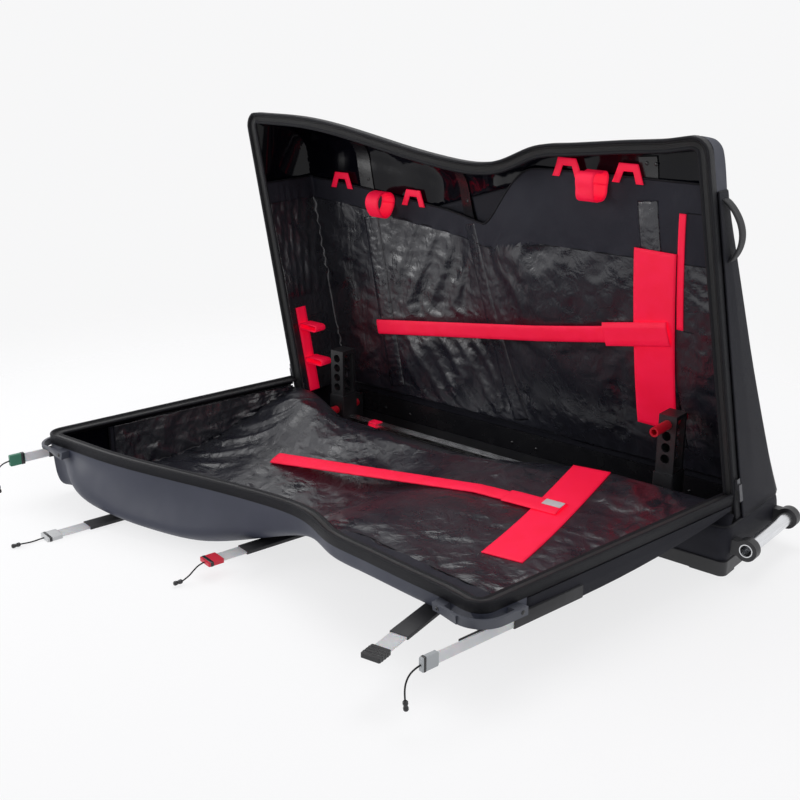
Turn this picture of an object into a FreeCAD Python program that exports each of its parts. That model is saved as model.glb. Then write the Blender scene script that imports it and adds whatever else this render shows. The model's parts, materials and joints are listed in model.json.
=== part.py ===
import FreeCAD, Part
import math
import os

V = FreeCAD.Vector
os.makedirs("parts", exist_ok=True)

# Rim outline, seen square on to the parting plane, with rises counted from the hinge
HINGE_HEIGHT = 160.0
HINGE_LEFT = -605.0
HINGE_RIGHT = 597.0
TOP_LEFT_X = -742.0
TOP_LEFT_RISE = 652.0
TOP_RIGHT_X = 480.0
TOP_RIGHT_RISE = 675.0
DIP_X = -30.0
DIP_RISE = 585.0
DIP_STEEPNESS = 1.25
SHOULDER_X = 140.0
SHOULDER_RISE = 637.0
CORNER_RADIUS = 36.0

# Depths of the two halves, from the parting plane outwards
LID_HINGE_DEPTH = 34.0
LID_LEFT_DEPTH = 144.0
LID_BULGE_DEPTH = 155.2
LID_WAIST_DEPTH = 68.0
REAR_HINGE_DEPTH = 200.0
REAR_LEFT_DEPTH = 190.0
REAR_BULGE_DEPTH = 200.0
REAR_WAIST_DEPTH = 66.0
BULGE_X = -330.0
BULGE_SWELL = 20.0
REAR_SWELL = 0.0
REAR_FALL = 45.0
LID_FALL = 0.0
SWELL_START = 150.0
SWELL_REACH = 330.0
WALL_DRAFT = 16.0
EDGE_ROUND = 60.0
LID_FLAT = 300.0
REAR_FLAT = 190.0

# Shoulder across the wall of a half: it comes down from a high to a low share of the depth
CREST_HIGH = 0.33
CREST_LOW = 0.64
CREST_START_X = -680.0
CREST_END_X = -420.0

# Curve of a rib: steps to the shoulder and to the outer face, with shares of draft, swell and round
RIB_CURVE = (
    (0.0, 0.0, 0.0, 0.00),
    (0.5, 0.3, -0.2, 0.00),
    (1.0, 0.6, 0.7, 0.00),
    (1.5, 1.0, 1.0, 0.00),
    (1.9, 1.0, 0.5, 0.35),
    (2.0, 1.0, 0.0, 1.00),
)
RIB_FLAT = 0.98
RIB_MIDDLE = 0.62
RIB_STEPS = (0.0, 0.06, 0.13, 0.19, 0.25, 0.33, 0.58, 0.8, 1.0)

# Walls and layers of the halves
SKIN = 3.0
RIM_HEIGHT = 22.0
RIM_WIDTH = 8.0
RIM_GAP = 0.3
LINER = 1.5
LAYER_GAP = 0.3
WEBBING = 2.0
SHELL_LEFT_RISE = 430.0
SHELL_RIGHT_RISE = 570.0
GUSSET_WIDTH = 14.0
LINER_DIP_X = -105.0
LINER_STEP_X = 75.0
LINER_DIP_DROP = 46.0
REAR_LINER_LEFT = 476.0
REAR_LINER_RIGHT = 577.0
LID_LINER_LEFT = 500.0
LID_LINER_RIGHT = 640.0

# Base tub
BASE_TOP = 103.0
BASE_FRONT = -40.0
BASE_BACK = 200.0
PAN_HEIGHT = 30.0
PAN_WALL = 4.0
BASE_CORNER = 12.0
SKID_LENGTH = 70.0
SKID_WIDTH = 46.0
SKID_PROUD = 3.0
STRIP_HEIGHT = 52.0
STRIP_INSET = 45.0
FLAP_GAP = 3.0

# Wheels
WHEEL_RADIUS = 36.0
WHEEL_WIDTH = 26.0
WHEEL_OVERHANG = 20.0
WHEEL_EDGE = 5.0
AXLE_RADIUS = 4.0
TURN_GAP = 0.1
SEAT_GAP = 0.05
HOUSING_LENGTH = 64.0
HOUSING_WALL = 5.0
WHEEL_GAP = 2.0

# Rail, its feet and its webbing ties
RAIL_Y = 75.0
RAIL_WIDTH = 25.0
RAIL_HEIGHT = 20.0
RAIL_TOP = 60.0
RAIL_LEFT = -560.0
RAIL_RIGHT = 512.0
RAIL_FOOT = 60.0
RAIL_FOOT_NARROW = 5.0
RAIL_FOOT_X = (-300.0, 200.0)
TIE_X = (-388.0, 312.0)
TIE_WIDTH = 25.0

# Posts
POST_LENGTH = 46.0
POST_WIDTH = 54.0
POST_LEG = 24.0
SLIDE_GAP = 0.15
LADDER_LENGTH = 40.0
LADDER_WIDTH = 46.0
LADDER_WALL = 7.0
LADDER_CAP = 9.0
LADDER_SOCKET = 20.0
POST_ROUND = 3.5
HOLE_DROP = 20.0
HOLE_PITCH = 25.0
HOLE_COUNT = 4
SLEEVE_RADIUS = 10.0
SLEEVE_BORE = 6.1
FRONT_POST_X = -495.0
FRONT_SHOULDER = 115.0
FRONT_TOP = 232.0
FRONT_SLEEVE_HEIGHT = 78.0
FRONT_SLEEVE_LENGTH = 100.0
REAR_POST_X = 420.0
REAR_SHOULDER = 140.0
REAR_TOP = 267.0
REAR_SLEEVE_LENGTH = 130.0
REAR_SLEEVE_SHIFT = -15.0

# Grab bar
BAR_RADIUS = 13.5
BAR_WALL = 2.0
BAR_HEIGHT = 62.0
BAR_OUT = 36.0
BRACKET_WIDTH = 20.0
BRACKET_EYE = 22.0
BRACKET_ARM = 30.0

# Webbing on the rear liner: places are x, rise
CHANNEL_WIDTH = 45.0
CHANNEL_THICK = 2.5
CHANNELS = (
    ((-493.0, 394.0), (-409.0, -36.0)),
    ((-164.0, 417.0), (-23.0, -40.0)),
    ((341.0, 535.0), (395.0, 0.0)),
)
BATTEN_PLATE_WIDTH = 40.0
BATTEN_PLATE_THICK = 3.0
BATTEN_PLATE_HEIGHT = 150.0
BATTEN_PLATE_TOP = 40.0
REAR_STRAP = ((-468.0, 114.0), (388.0, 266.0))
REAR_STRAP_WIDTH = 38.0
STRAP_SEATS = 8
STRAP_SEAT = 0.5
REAR_PATCH = ((352.0, 118.0), (362.0, 438.0))
REAR_PATCH_WIDTH = 92.0
FRAME_STRAP_DEPTH = (42.0, 80.0)
FRAME_STRAP_RISE = (-52.0, 165.0)
FRAME_LOOP_RISE = (118.0, 32.0)
FRAME_LOOP_LENGTH = 58.0
FRAME_LOOP_HEIGHT = 36.0
FRAME_LOOP_THICK = 14.0
TAB_X = (-584.0, -357.0, 155.0, 295.0)
TAB_WIDTH = 62.0
TAB_HEIGHT = 52.0
RING_X = (-436.0, 231.0)
RING_RADIUS = 32.0
RING_WIDTH = 42.0
RING_SEAT = 0.6
RING_DROP = 19.0
POCKET_ZIP = ((413.0, 278.0), (418.0, 518.0))
POCKET_ZIP_WIDTH = 14.0

# Side handle on the right end
HANDLE_RISE = (440.0, 556.0)
HANDLE_DEPTH = (34.0, 60.0)
HANDLE_STAND = 30.0
HANDLE_THICK = 4.0

# Webbing on the lid liner: places are x, rise
LID_STRAP = ((-434.0, 234.0), (322.0, 196.0))
LID_STRAP_WIDTH = 38.0
LID_PATCH = ((288.0, 12.0), (343.0, 419.0))
LID_PATCH_WIDTH = 84.0

# Moulded corner grips of the lid
GRIP_STAND = 14.0
GRIP_THICK = 6.0
GRIP_TOP = 24.0
GRIP_HEIGHT = 16.0
GRIP_FRONT = 95.0
GRIP_SIDE = 85.0
GRIP_FOOT = 24.0

# Pull-out battens and the sleeves they slide in
BATTEN_WIDTH = 32.0
END_BATTEN_WIDTH = 20.0
BATTEN_THICK = 3.0
BATTEN_INSIDE = 200.0
SLEEVE_ROOM = 0.5
SLEEVE_CLOTH = 1.5
SLEEVE_INSIDE = 240.0
SLEEVE_SEAT = 0.8
END_BATTEN_DEPTH = 54.0
CLIP_LENGTH = 34.0
CLIP_PROUD = 2.5
WHITE_X = -530.0
WHITE_TAB = 45.0
WHITE_OUT = 62.0
RED_X = -150.0
RED_TAB = 10.0
RED_OUT = 52.0
BLACK_X = 350.0
BLACK_LEAN = 0.12
BLACK_TAB = 72.0
BLACK_OUT = 50.0
GREEN_TAB = -14.0
GREEN_OUT = 56.0
GREY_TAB = -72.0
GREY_OUT = 168.0
FLAP_LENGTH = 120.0
FLAP_WIDTH = 26.0

# Pull cords on the battens: places along and below the end of the clip
PULL_RADIUS = 1.5
ARC_SHARE = 0.45
TOGGLE_RADIUS = 4.5
TOGGLE_LENGTH = 18.0
HANGING_PULL = ((0.0, 0.0), (15.0, -2.0), (28.0, -13.0), (33.0, -32.0), (31.0, -50.0))
LOW_PULL = ((0.0, 0.0), (12.0, -2.0), (24.0, -10.0), (36.0, -20.0), (50.0, -25.0))
FLOOR_PULL = ((0.0, 0.0), (12.0, -0.6), (25.0, -1.6), (38.0, -0.8), (51.0, 0.7))

# Zip sliders on the outside of the rear rim
SLIDER_LENGTH = 22.0
SLIDER_WIDTH = 12.0
SLIDER_THICK = 6.0
SLIDER_RISE = 16.0
PULLER_LENGTH = 34.0
PULLER_THICK = 3.0

# Working values: ribs in a half, how far cutters run past what they cut, and a length past everything
STATION_COUNT = 17
MOUTH = 40.0
FAR = 2000.0


def between(a, b, share):
    return a + (b - a) * share


def smooth(value):
    share = min(1.0, max(0.0, value))
    return share * share * (3.0 - 2.0 * share)


def edge_x(side, rise):
    """Left or right edge of the outline at one rise."""
    if side == "left":
        return between(HINGE_LEFT, TOP_LEFT_X, rise / TOP_LEFT_RISE)
    return between(HINGE_RIGHT, TOP_RIGHT_X, rise / TOP_RIGHT_RISE)


def top_rise(x):
    """Top edge of the outline: a long fall to the dip, a quick step up, then a gentle slope."""
    if x < DIP_X:
        share = DIP_STEEPNESS * (DIP_X - x) / (DIP_X - TOP_LEFT_X)
        return between(DIP_RISE, TOP_LEFT_RISE, smooth(share))
    if x < SHOULDER_X:
        return between(DIP_RISE, SHOULDER_RISE, smooth((x - DIP_X) / (SHOULDER_X - DIP_X)))
    return between(SHOULDER_RISE, TOP_RIGHT_RISE, (x - SHOULDER_X) / (TOP_RIGHT_X - SHOULDER_X))


def rib_foot(x_top):
    """Where the line across the half that ends at x_top starts on the hinge."""
    share = (x_top - TOP_LEFT_X) / (TOP_RIGHT_X - TOP_LEFT_X)
    return between(HINGE_LEFT, HINGE_RIGHT, share)


def rib_lean(x_top):
    return (x_top - rib_foot(x_top)) / top_rise(x_top)


STATIONS = [between(TOP_LEFT_X, TOP_RIGHT_X, i / (STATION_COUNT - 1)) for i in range(STATION_COUNT)]
BASE_LEFT = edge_x("left", BASE_TOP - HINGE_HEIGHT)
BASE_RIGHT = edge_x("right", BASE_TOP - HINGE_HEIGHT)


class Half:
    """One half of the case: its depths, and how x, rise and depth are placed in space."""

    def __init__(self, start, flat, hinge_depth, left_depth, bulge_depth, waist_depth, most_swell, most_fall,
                 along, outwards):
        self.start = start
        self.flat = flat
        self.hinge_depth = hinge_depth
        self.left_depth = left_depth
        self.bulge_depth = bulge_depth
        self.waist_depth = waist_depth
        self.most_swell = most_swell
        self.most_fall = most_fall
        self.along = along
        self.outwards = outwards
        self.kept = {}

    def place(self, x, rise, depth):
        return V(x, 0, HINGE_HEIGHT) + self.along * rise + self.outwards * depth

    def depth(self, x):
        if x < BULGE_X:
            share = smooth((x - TOP_LEFT_X) / (BULGE_X - TOP_LEFT_X))
            return between(self.left_depth, self.bulge_depth, share)
        share = smooth((x - BULGE_X) / (between(DIP_X, SHOULDER_X, 0.5) - BULGE_X))
        return between(self.bulge_depth, self.waist_depth, share)

    def swell(self, x):
        """How far the wall stands out beyond the rim: nothing at the corners, most at the bulge."""
        if x < BULGE_X:
            return self.most_swell * smooth((x - TOP_LEFT_X - CORNER_RADIUS) / SWELL_START)
        return self.most_swell * smooth(1.0 - (x - BULGE_X) / SWELL_REACH)

    def fall(self, x):
        """How far the wall comes down towards the outer face: most where the half is deep."""
        return self.most_fall * (self.depth(x) - self.waist_depth) / (self.bulge_depth - self.waist_depth)

    def crest(self, x):
        """Share of the depth at which the shoulder crosses a rib."""
        return between(CREST_HIGH, CREST_LOW, smooth((x - CREST_START_X) / (CREST_END_X - CREST_START_X)))

    def section(self, station, inset, reach):
        """Closed outline across the half, from the hinge side over the rim to the outer face."""
        x_top = STATIONS[station]
        x_foot = rib_foot(x_top)
        rise = top_rise(x_top)
        lean = rib_lean(x_top)
        shift = 0.0
        if station == 0:
            shift = inset
        if station == len(STATIONS) - 1:
            shift = -inset
        top = rise - inset
        deep = self.depth(x_top) - inset
        hinge = self.hinge_depth - inset
        swell = self.swell(x_top)
        draft = WALL_DRAFT * (1.0 - swell / BULGE_SWELL)
        fall = self.fall(x_top)
        flat = top - self.flat
        profile = []
        crest = self.crest(x_top)
        for step, drafted, swollen, rounded in RIB_CURVE:
            share = crest * step if step < 1.0 else between(crest, 1.0, step - 1.0)
            lower = draft * drafted + EDGE_ROUND * rounded + fall * share
            profile.append((top - lower + swell * swollen, deep * share))
        profile.append((flat, between(hinge, deep, RIB_FLAT)))
        profile.append((between(self.start, flat, 0.5), between(hinge, deep, RIB_MIDDLE)))
        profile.append((self.start, hinge))

        def point(r, d):
            return self.place(x_foot + lean * r + shift, r, d)

        curve = Part.BSplineCurve()
        curve.interpolate(Points=[point(r, d) for r, d in profile], Parameters=list(RIB_STEPS))
        low = self.start - reach
        corners = [point(self.start, hinge)]
        if reach > 0:
            corners.append(point(low, hinge))
        corners.append(point(low, -reach))
        corners.append(point(top, -reach))
        if reach > 0:
            corners.append(point(top, 0.0))
        sides = [Part.LineSegment(a, b).toShape() for a, b in zip(corners, corners[1:])]
        return Part.Wire([curve.toShape()] + sides)

    def block(self, inset, reach=0.0):
        """Solid that fills the half, inset from its outer skin, running past the mouth by reach."""
        key = ("block", inset, reach)
        if key not in self.kept:
            wires = [self.section(i, inset, reach) for i in range(len(STATIONS))]
            solid = Part.makeLoft(wires, True, False)
            for side in ("left", "right"):
                solid = solid.cut(self.corner_waste(side, inset))
            self.kept[key] = solid
        return self.kept[key]

    def corner_waste(self, side, inset):
        """What is taken off a top corner to round it, seen square on to the parting plane."""
        step = 1.0 if side == "left" else -1.0
        x = TOP_LEFT_X if side == "left" else TOP_RIGHT_X
        rise = top_rise(x) - inset
        corner = V(edge_x(side, rise) + step * inset, rise, 0)
        down = V(edge_x(side, 0.0) - edge_x(side, rise), -rise, 0).normalize()
        along = V(step * EDGE_ROUND, top_rise(x + step * EDGE_ROUND) - top_rise(x), 0).normalize()
        half_angle = down.getAngle(along) / 2
        radius = CORNER_RADIUS - inset
        inwards = (down + along).normalize()
        centre = corner + inwards * (radius / math.sin(half_angle))
        first = corner + down * (radius / math.tan(half_angle))
        second = corner + along * (radius / math.tan(half_angle))
        middle = centre - inwards * radius
        past_side = first + (first - centre).normalize() * FAR
        past_top = second + (second - centre).normalize() * FAR
        past_both = corner - inwards * 2 * FAR

        def point(flat):
            return self.place(flat.x, flat.y, -2 * MOUTH)

        arc = Part.Arc(point(first), point(middle), point(second)).toShape()
        corners = [point(place) for place in (second, past_top, past_both, past_side, first)]
        sides = [Part.LineSegment(a, b).toShape() for a, b in zip(corners, corners[1:])]
        return Part.Face(Part.Wire([arc] + sides)).extrude(self.outwards * FAR)

    def deep_at(self, x, rise, inset):
        """How deep the block is at one place."""
        line = Part.makeLine(self.place(x, rise, 0.0), self.place(x, rise, FAR))
        return line.common(self.block(inset)).Length

    def layer(self, outer, inner):
        """Shell of the half between two insets, open at the mouth."""
        key = ("layer", outer, inner)
        if key not in self.kept:
            self.kept[key] = self.block(outer).cut(self.block(inner, MOUTH))
        return self.kept[key]

    def region(self, corners, near, far):
        """Prism over an outline of x, rise places, between two depths."""
        places = [self.place(x, rise, near) for x, rise in corners]
        face = Part.Face(Part.makePolygon(places + places[:1]))
        return face.extrude(self.outwards * (far - near))


def strip(start, end, width):
    """Corners of a straight strip of webbing between two places."""
    dx = end[0] - start[0]
    dy = end[1] - start[1]
    length = math.hypot(dx, dy)
    ox = -dy / length * width / 2
    oy = dx / length * width / 2
    return [(start[0] - ox, start[1] - oy), (end[0] - ox, end[1] - oy),
            (end[0] + ox, end[1] + oy), (start[0] + ox, start[1] + oy)]


def box(x0, x1, y0, y1, z0, z1):
    return Part.makeBox(x1 - x0, y1 - y0, z1 - z0, V(x0, y0, z0))


def rod(radius, start, end):
    return Part.makeCylinder(radius, (end - start).Length, start, end - start)


def rounded_box(x0, x1, y0, y1, z0, z1, radius):
    solid = box(x0, x1, y0, y1, z0, z1)
    upright = [e for e in solid.Edges if abs(e.Vertexes[0].Z - e.Vertexes[1].Z) > (z1 - z0) / 2]
    return solid.makeFillet(radius, upright)


def save(name, *solids):
    shape = solids[0] if len(solids) == 1 else Part.makeCompound(list(solids))
    shape.exportStep("parts/" + name + ".step")
    good = shape.isValid()
    state = "" if good else "NOT VALID"
    print(name, len(shape.Solids), "solids", round(shape.Volume / 1000, 2), "cm3", state)


rear = Half(BASE_TOP - HINGE_HEIGHT, REAR_FLAT, REAR_HINGE_DEPTH, REAR_LEFT_DEPTH, REAR_BULGE_DEPTH,
            REAR_WAIST_DEPTH, REAR_SWELL, REAR_FALL, V(0, 0, 1), V(0, 1, 0))
lid = Half(0.0, LID_FLAT, LID_HINGE_DEPTH, LID_LEFT_DEPTH, LID_BULGE_DEPTH,
           LID_WAIST_DEPTH, BULGE_SWELL, LID_FALL, V(0, -1, 0), V(0, 0, -1))


# Skins of both halves
def shell_corners():
    high = TOP_RIGHT_RISE + FAR
    return [(TOP_LEFT_X - FAR, SHELL_LEFT_RISE), (BULGE_X, SHELL_LEFT_RISE),
            (SHOULDER_X, SHELL_RIGHT_RISE), (TOP_RIGHT_X + FAR, SHELL_RIGHT_RISE),
            (TOP_RIGHT_X + FAR, high), (TOP_LEFT_X - FAR, high)]


def gusset_corners(side, start):
    inwards = GUSSET_WIDTH if side == "left" else -GUSSET_WIDTH
    outwards = -FAR if side == "left" else FAR
    low = start - MOUTH
    high = TOP_RIGHT_RISE
    return [(edge_x(side, low) + inwards, low), (edge_x(side, high) + inwards, high),
            (edge_x(side, high) + outwards, high), (edge_x(side, low) + outwards, low)]


def everywhere_above(rise):
    return [(-FAR, rise), (FAR, rise), (FAR, FAR), (-FAR, FAR)]


def skin(half, prefix):
    wall = half.layer(0.0, SKIN)
    wall = wall.cut(half.region(everywhere_above(0.0), -MOUTH, RIM_HEIGHT))
    rim = half.layer(0.0, RIM_WIDTH).common(half.region(everywhere_above(0.0), RIM_GAP, RIM_HEIGHT))
    shell_zone = half.region(shell_corners(), -MOUTH, FAR)
    shell = wall.common(shell_zone)
    lower = wall.cut(shell_zone)
    ends = [half.region(gusset_corners(side, half.start), -MOUTH, FAR) for side in ("left", "right")]
    gussets = [lower.common(end) for end in ends]
    panel = lower.cut(ends[0]).cut(ends[1])
    save(prefix + "_shell", shell)
    save(prefix + "_panel", panel)
    save(prefix + "_gussets", *gussets)
    save(prefix + "_rim", rim)


skin(rear, "rear")
skin(lid, "lid")


# Liners and the webbing sewn to them
def liner_top(x, left, right):
    """Top edge of a liner: level at both sides, with a dip under the dip of the rim."""
    if x < LINER_DIP_X:
        return left - LINER_DIP_DROP * smooth((x - TOP_LEFT_X) / (LINER_DIP_X - TOP_LEFT_X))
    low = left - LINER_DIP_DROP
    return between(low, right, smooth((x - LINER_DIP_X) / (LINER_STEP_X - LINER_DIP_X)))


def liner_corners(left, right):
    step = between(LINER_DIP_X, LINER_STEP_X, 0.5)
    knees = [-FAR, TOP_LEFT_X, BULGE_X, LINER_DIP_X, step, LINER_STEP_X, FAR]
    top = [(x, liner_top(x, left, right)) for x in knees]
    return [(-FAR, -FAR)] + top + [(FAR, -FAR)]


def sewn(half, inset, thick, corners, near=RIM_HEIGHT, far=FAR):
    """A sheet that follows the inside of a half, with its back at one inset from the skin."""
    return half.layer(inset, inset + thick).common(half.region(corners, near, far))


on_liner = RIM_WIDTH + LINER + LAYER_GAP
rear_on_channel = on_liner + CHANNEL_THICK + LAYER_GAP
rear_on_patch = rear_on_channel + WEBBING + LAYER_GAP
lid_on_patch = on_liner + WEBBING + LAYER_GAP
clear_of_rim = RIM_HEIGHT + LAYER_GAP

rear_cloth = liner_corners(REAR_LINER_LEFT, REAR_LINER_RIGHT)
lid_cloth = liner_corners(LID_LINER_LEFT, LID_LINER_RIGHT)
channels = [sewn(rear, on_liner, CHANNEL_THICK, strip(a, b, CHANNEL_WIDTH)) for a, b in CHANNELS]
save("rear_liner", sewn(rear, RIM_WIDTH, LINER, rear_cloth, clear_of_rim))
save("rear_batten_channels", *channels)


def batten_plate(channel):
    """Flat batten that comes up out of its channel and is riveted to the shell."""
    head, foot = channel
    lean = (head[0] - foot[0]) / (head[1] - foot[1])
    low = head[1] - BATTEN_PLATE_HEIGHT
    high = top_rise(head[0]) - BATTEN_PLATE_TOP
    start = (head[0] + lean * (low - head[1]), low)
    end = (head[0] + lean * (high - head[1]), high)
    corners = strip(start, end, BATTEN_PLATE_WIDTH)
    return sewn(rear, SKIN + LAYER_GAP, BATTEN_PLATE_THICK, corners, clear_of_rim)


save("rear_battens", *[batten_plate(channel) for channel in CHANNELS])
save("rear_strap_patch", sewn(rear, rear_on_channel, WEBBING, strip(*REAR_PATCH, REAR_PATCH_WIDTH)))
save("pocket_zip", sewn(rear, on_liner, WEBBING, strip(*POCKET_ZIP, POCKET_ZIP_WIDTH)))


def taut_strap(half, ends, width, inset):
    """Strap pulled straight between its ends, over whatever stands in front of that line."""
    start, end = [V(x, rise, 0) for x, rise in ends]
    side = V(start.y - end.y, end.x - start.x, 0).normalize() * (width / 2)
    upper, lower = [taut_edge(half, start + way, end + way, inset) for way in (side, side * -1)]
    inwards = half.outwards * -WEBBING
    sections = []
    for high, low in zip(upper, lower):
        places = [high, low, low + inwards, high + inwards]
        sections.append(Part.makePolygon(places + places[:1]))
    return Part.makeLoft(sections, True, True)


def taut_edge(half, start, end, inset):
    """Places along one edge of a strap, which bends only where it is held off by what lies under it."""
    seats = []
    for i in range(STRAP_SEATS + 1):
        at = start + (end - start) * (i / STRAP_SEATS)
        seats.append((i, half.deep_at(at.x, at.y, inset)))
    line = []
    for seat in seats:
        while len(line) > 1 and bends_back(line[-2], line[-1], seat):
            line.pop()
        line.append(seat)
    places = []
    for (first, shallow), (last, deep) in zip(line, line[1:]):
        for i in range(first, last):
            at = start + (end - start) * (i / STRAP_SEATS)
            places.append(half.place(at.x, at.y, between(shallow, deep, (i - first) / (last - first))))
    return places + [half.place(end.x, end.y, line[-1][1])]


def bends_back(first, second, third):
    """Whether the middle of three seats lies behind the line between the others."""
    slope = (third[1] - first[1]) / (third[0] - first[0])
    return second[1] >= first[1] + slope * (second[0] - first[0])


def liner_tab(x):
    middle = liner_top(x, REAR_LINER_LEFT, REAR_LINER_RIGHT)
    low = (x, middle - TAB_HEIGHT / 2)
    high = (x, middle + TAB_HEIGHT / 2)
    return sewn(rear, on_liner, WEBBING, strip(low, high, TAB_WIDTH))


save("rear_wheel_strap", taut_strap(rear, REAR_STRAP, REAR_STRAP_WIDTH, rear_on_patch + STRAP_SEAT))
save("liner_tabs", *[liner_tab(x) for x in TAB_X])


def frame_strap():
    """Webbing up the left end of the rear half, with two open loops on it."""
    low, high = FRAME_STRAP_RISE
    near = on_liner
    far = on_liner + WEBBING
    corners = [(edge_x("left", low) + near, low), (edge_x("left", high) + near, high),
               (edge_x("left", high) + far, high), (edge_x("left", low) + far, low)]
    strap = sewn(rear, near, WEBBING, corners, *FRAME_STRAP_DEPTH)
    return strap.multiFuse([frame_loop(rise) for rise in FRAME_LOOP_RISE])


def frame_loop(rise):
    middle = sum(FRAME_STRAP_DEPTH) / 2
    root = edge_x("left", rise - FRAME_LOOP_HEIGHT / 2) + on_liner + WEBBING / 2
    tip = root + FRAME_LOOP_LENGTH
    half = FRAME_LOOP_THICK / 2
    inner = half - WEBBING
    low = HINGE_HEIGHT + rise - FRAME_LOOP_HEIGHT / 2
    high = HINGE_HEIGHT + rise + FRAME_LOOP_HEIGHT / 2
    loop = box(root, tip, middle - half, middle + half, low, high)
    return loop.cut(box(root + WEBBING, tip - WEBBING, middle - inner, middle + inner,
                        low - MOUTH, high + MOUTH))


save("frame_strap", frame_strap())


def strap_ring(x):
    """Webbing loop that hangs on the face of the liner, open towards both ends."""
    rise = liner_top(x, REAR_LINER_LEFT, REAR_LINER_RIGHT) - RING_DROP
    half = RING_WIDTH / 2
    backs = []
    for dz in (-half, 0.0, half):
        fall = RING_RADIUS - math.sqrt(RING_RADIUS ** 2 - dz ** 2)
        backs += [rear.deep_at(x + dx, rise + dz, on_liner) + fall for dx in (-half, half)]
    middle = min(backs) - RING_SEAT - RING_RADIUS
    start, end = [rear.place(x + dx, rise, middle) for dx in (-half, half)]
    return rod(RING_RADIUS, start, end).cut(rod(RING_RADIUS - WEBBING, start, end))


save("strap_rings", *[strap_ring(x) for x in RING_X])
save("lid_liner", sewn(lid, RIM_WIDTH, LINER, lid_cloth, clear_of_rim))
save("lid_strap_patch", sewn(lid, on_liner, WEBBING, strip(*LID_PATCH, LID_PATCH_WIDTH), 0.0))
save("lid_wheel_strap", taut_strap(lid, LID_STRAP, LID_STRAP_WIDTH, lid_on_patch + STRAP_SEAT))


# Base tub, skids, wheels and hinge flap
def base_block(proud, low, high):
    return rounded_box(BASE_LEFT - proud, BASE_RIGHT + proud, BASE_FRONT - proud, BASE_BACK + proud,
                       low, high, BASE_CORNER + proud)


WHEEL_Y = (BASE_FRONT + WHEEL_WIDTH / 2 + WHEEL_GAP + HOUSING_WALL + BASE_CORNER,
           BASE_BACK - WHEEL_WIDTH / 2 - WHEEL_GAP - HOUSING_WALL - BASE_CORNER)
WHEEL_X = BASE_LEFT + WHEEL_RADIUS - WHEEL_OVERHANG
housing_half = WHEEL_WIDTH / 2 + WHEEL_GAP + HOUSING_WALL
housing_top = 2 * WHEEL_RADIUS + WHEEL_GAP + HOUSING_WALL


def housing_space(y):
    return box(BASE_LEFT - FAR, BASE_LEFT + HOUSING_LENGTH, y - housing_half, y + housing_half,
               -FAR, housing_top)


def wheel_housing(y):
    solid = box(BASE_LEFT, BASE_LEFT + HOUSING_LENGTH, y - housing_half, y + housing_half,
                WHEEL_GAP, housing_top)
    inner = WHEEL_WIDTH / 2 + WHEEL_GAP
    reach = WHEEL_RADIUS + WHEEL_GAP
    pocket = rod(reach, V(WHEEL_X, y - inner, WHEEL_RADIUS), V(WHEEL_X, y + inner, WHEEL_RADIUS))
    below = box(WHEEL_X - reach, WHEEL_X + reach, y - inner, y + inner, -FAR, WHEEL_RADIUS)
    return solid.cut(pocket).cut(below).cut(axle_rod(y, AXLE_RADIUS + SEAT_GAP))


def axle_rod(y, radius):
    start = V(WHEEL_X, y - housing_half, WHEEL_RADIUS)
    return rod(radius, start, start + V(0, 2 * housing_half, 0))


def wheel(y):
    half = WHEEL_WIDTH / 2
    solid = rod(WHEEL_RADIUS, V(WHEEL_X, y - half, WHEEL_RADIUS), V(WHEEL_X, y + half, WHEEL_RADIUS))
    solid = solid.makeFillet(WHEEL_EDGE, [e for e in solid.Edges if e.Closed])
    return solid.cut(axle_rod(y, AXLE_RADIUS + TURN_GAP))


def skid_space(y0, y1):
    return box(BASE_RIGHT - SKID_LENGTH, BASE_RIGHT + FAR, y0, y1, -FAR, PAN_HEIGHT)


SKID_SPACES = (skid_space(BASE_FRONT - FAR, BASE_FRONT + SKID_WIDTH),
               skid_space(BASE_BACK - SKID_WIDTH, BASE_BACK + FAR))


def base_floor_pan():
    outer = base_block(0.0, 0.0, PAN_HEIGHT)
    inner = base_block(-PAN_WALL, PAN_WALL, PAN_HEIGHT + MOUTH)
    pan = outer.cut(inner)
    for space in SKID_SPACES:
        pan = pan.cut(space)
    for y in WHEEL_Y:
        pan = pan.cut(housing_space(y))
    return pan


def base_walls():
    inner = base_block(-SKIN, PAN_HEIGHT - MOUTH, BASE_TOP + MOUTH)
    ring = base_block(0.0, PAN_HEIGHT, BASE_TOP).cut(inner)
    for y in WHEEL_Y:
        ring = ring.cut(housing_space(y))
    middle = box(BASE_LEFT + BASE_CORNER, BASE_RIGHT - BASE_CORNER, -FAR, FAR, -FAR, FAR)
    return ring.common(middle).Solids, ring.cut(middle).Solids


def hinge_flap():
    """Strip of fabric from the top of the front wall to just under the edge of the lid."""
    low = BASE_TOP
    high = HINGE_HEIGHT - LID_HINGE_DEPTH - FLAP_GAP
    corners = [V(BASE_LEFT, BASE_FRONT, low), V(BASE_LEFT, -LAYER_GAP, high - WEBBING),
               V(BASE_LEFT, -LAYER_GAP, high), V(BASE_LEFT, BASE_FRONT, low + WEBBING)]
    return Part.Face(Part.makePolygon(corners + corners[:1])).extrude(V(BASE_RIGHT - BASE_LEFT, 0, 0))


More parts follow.
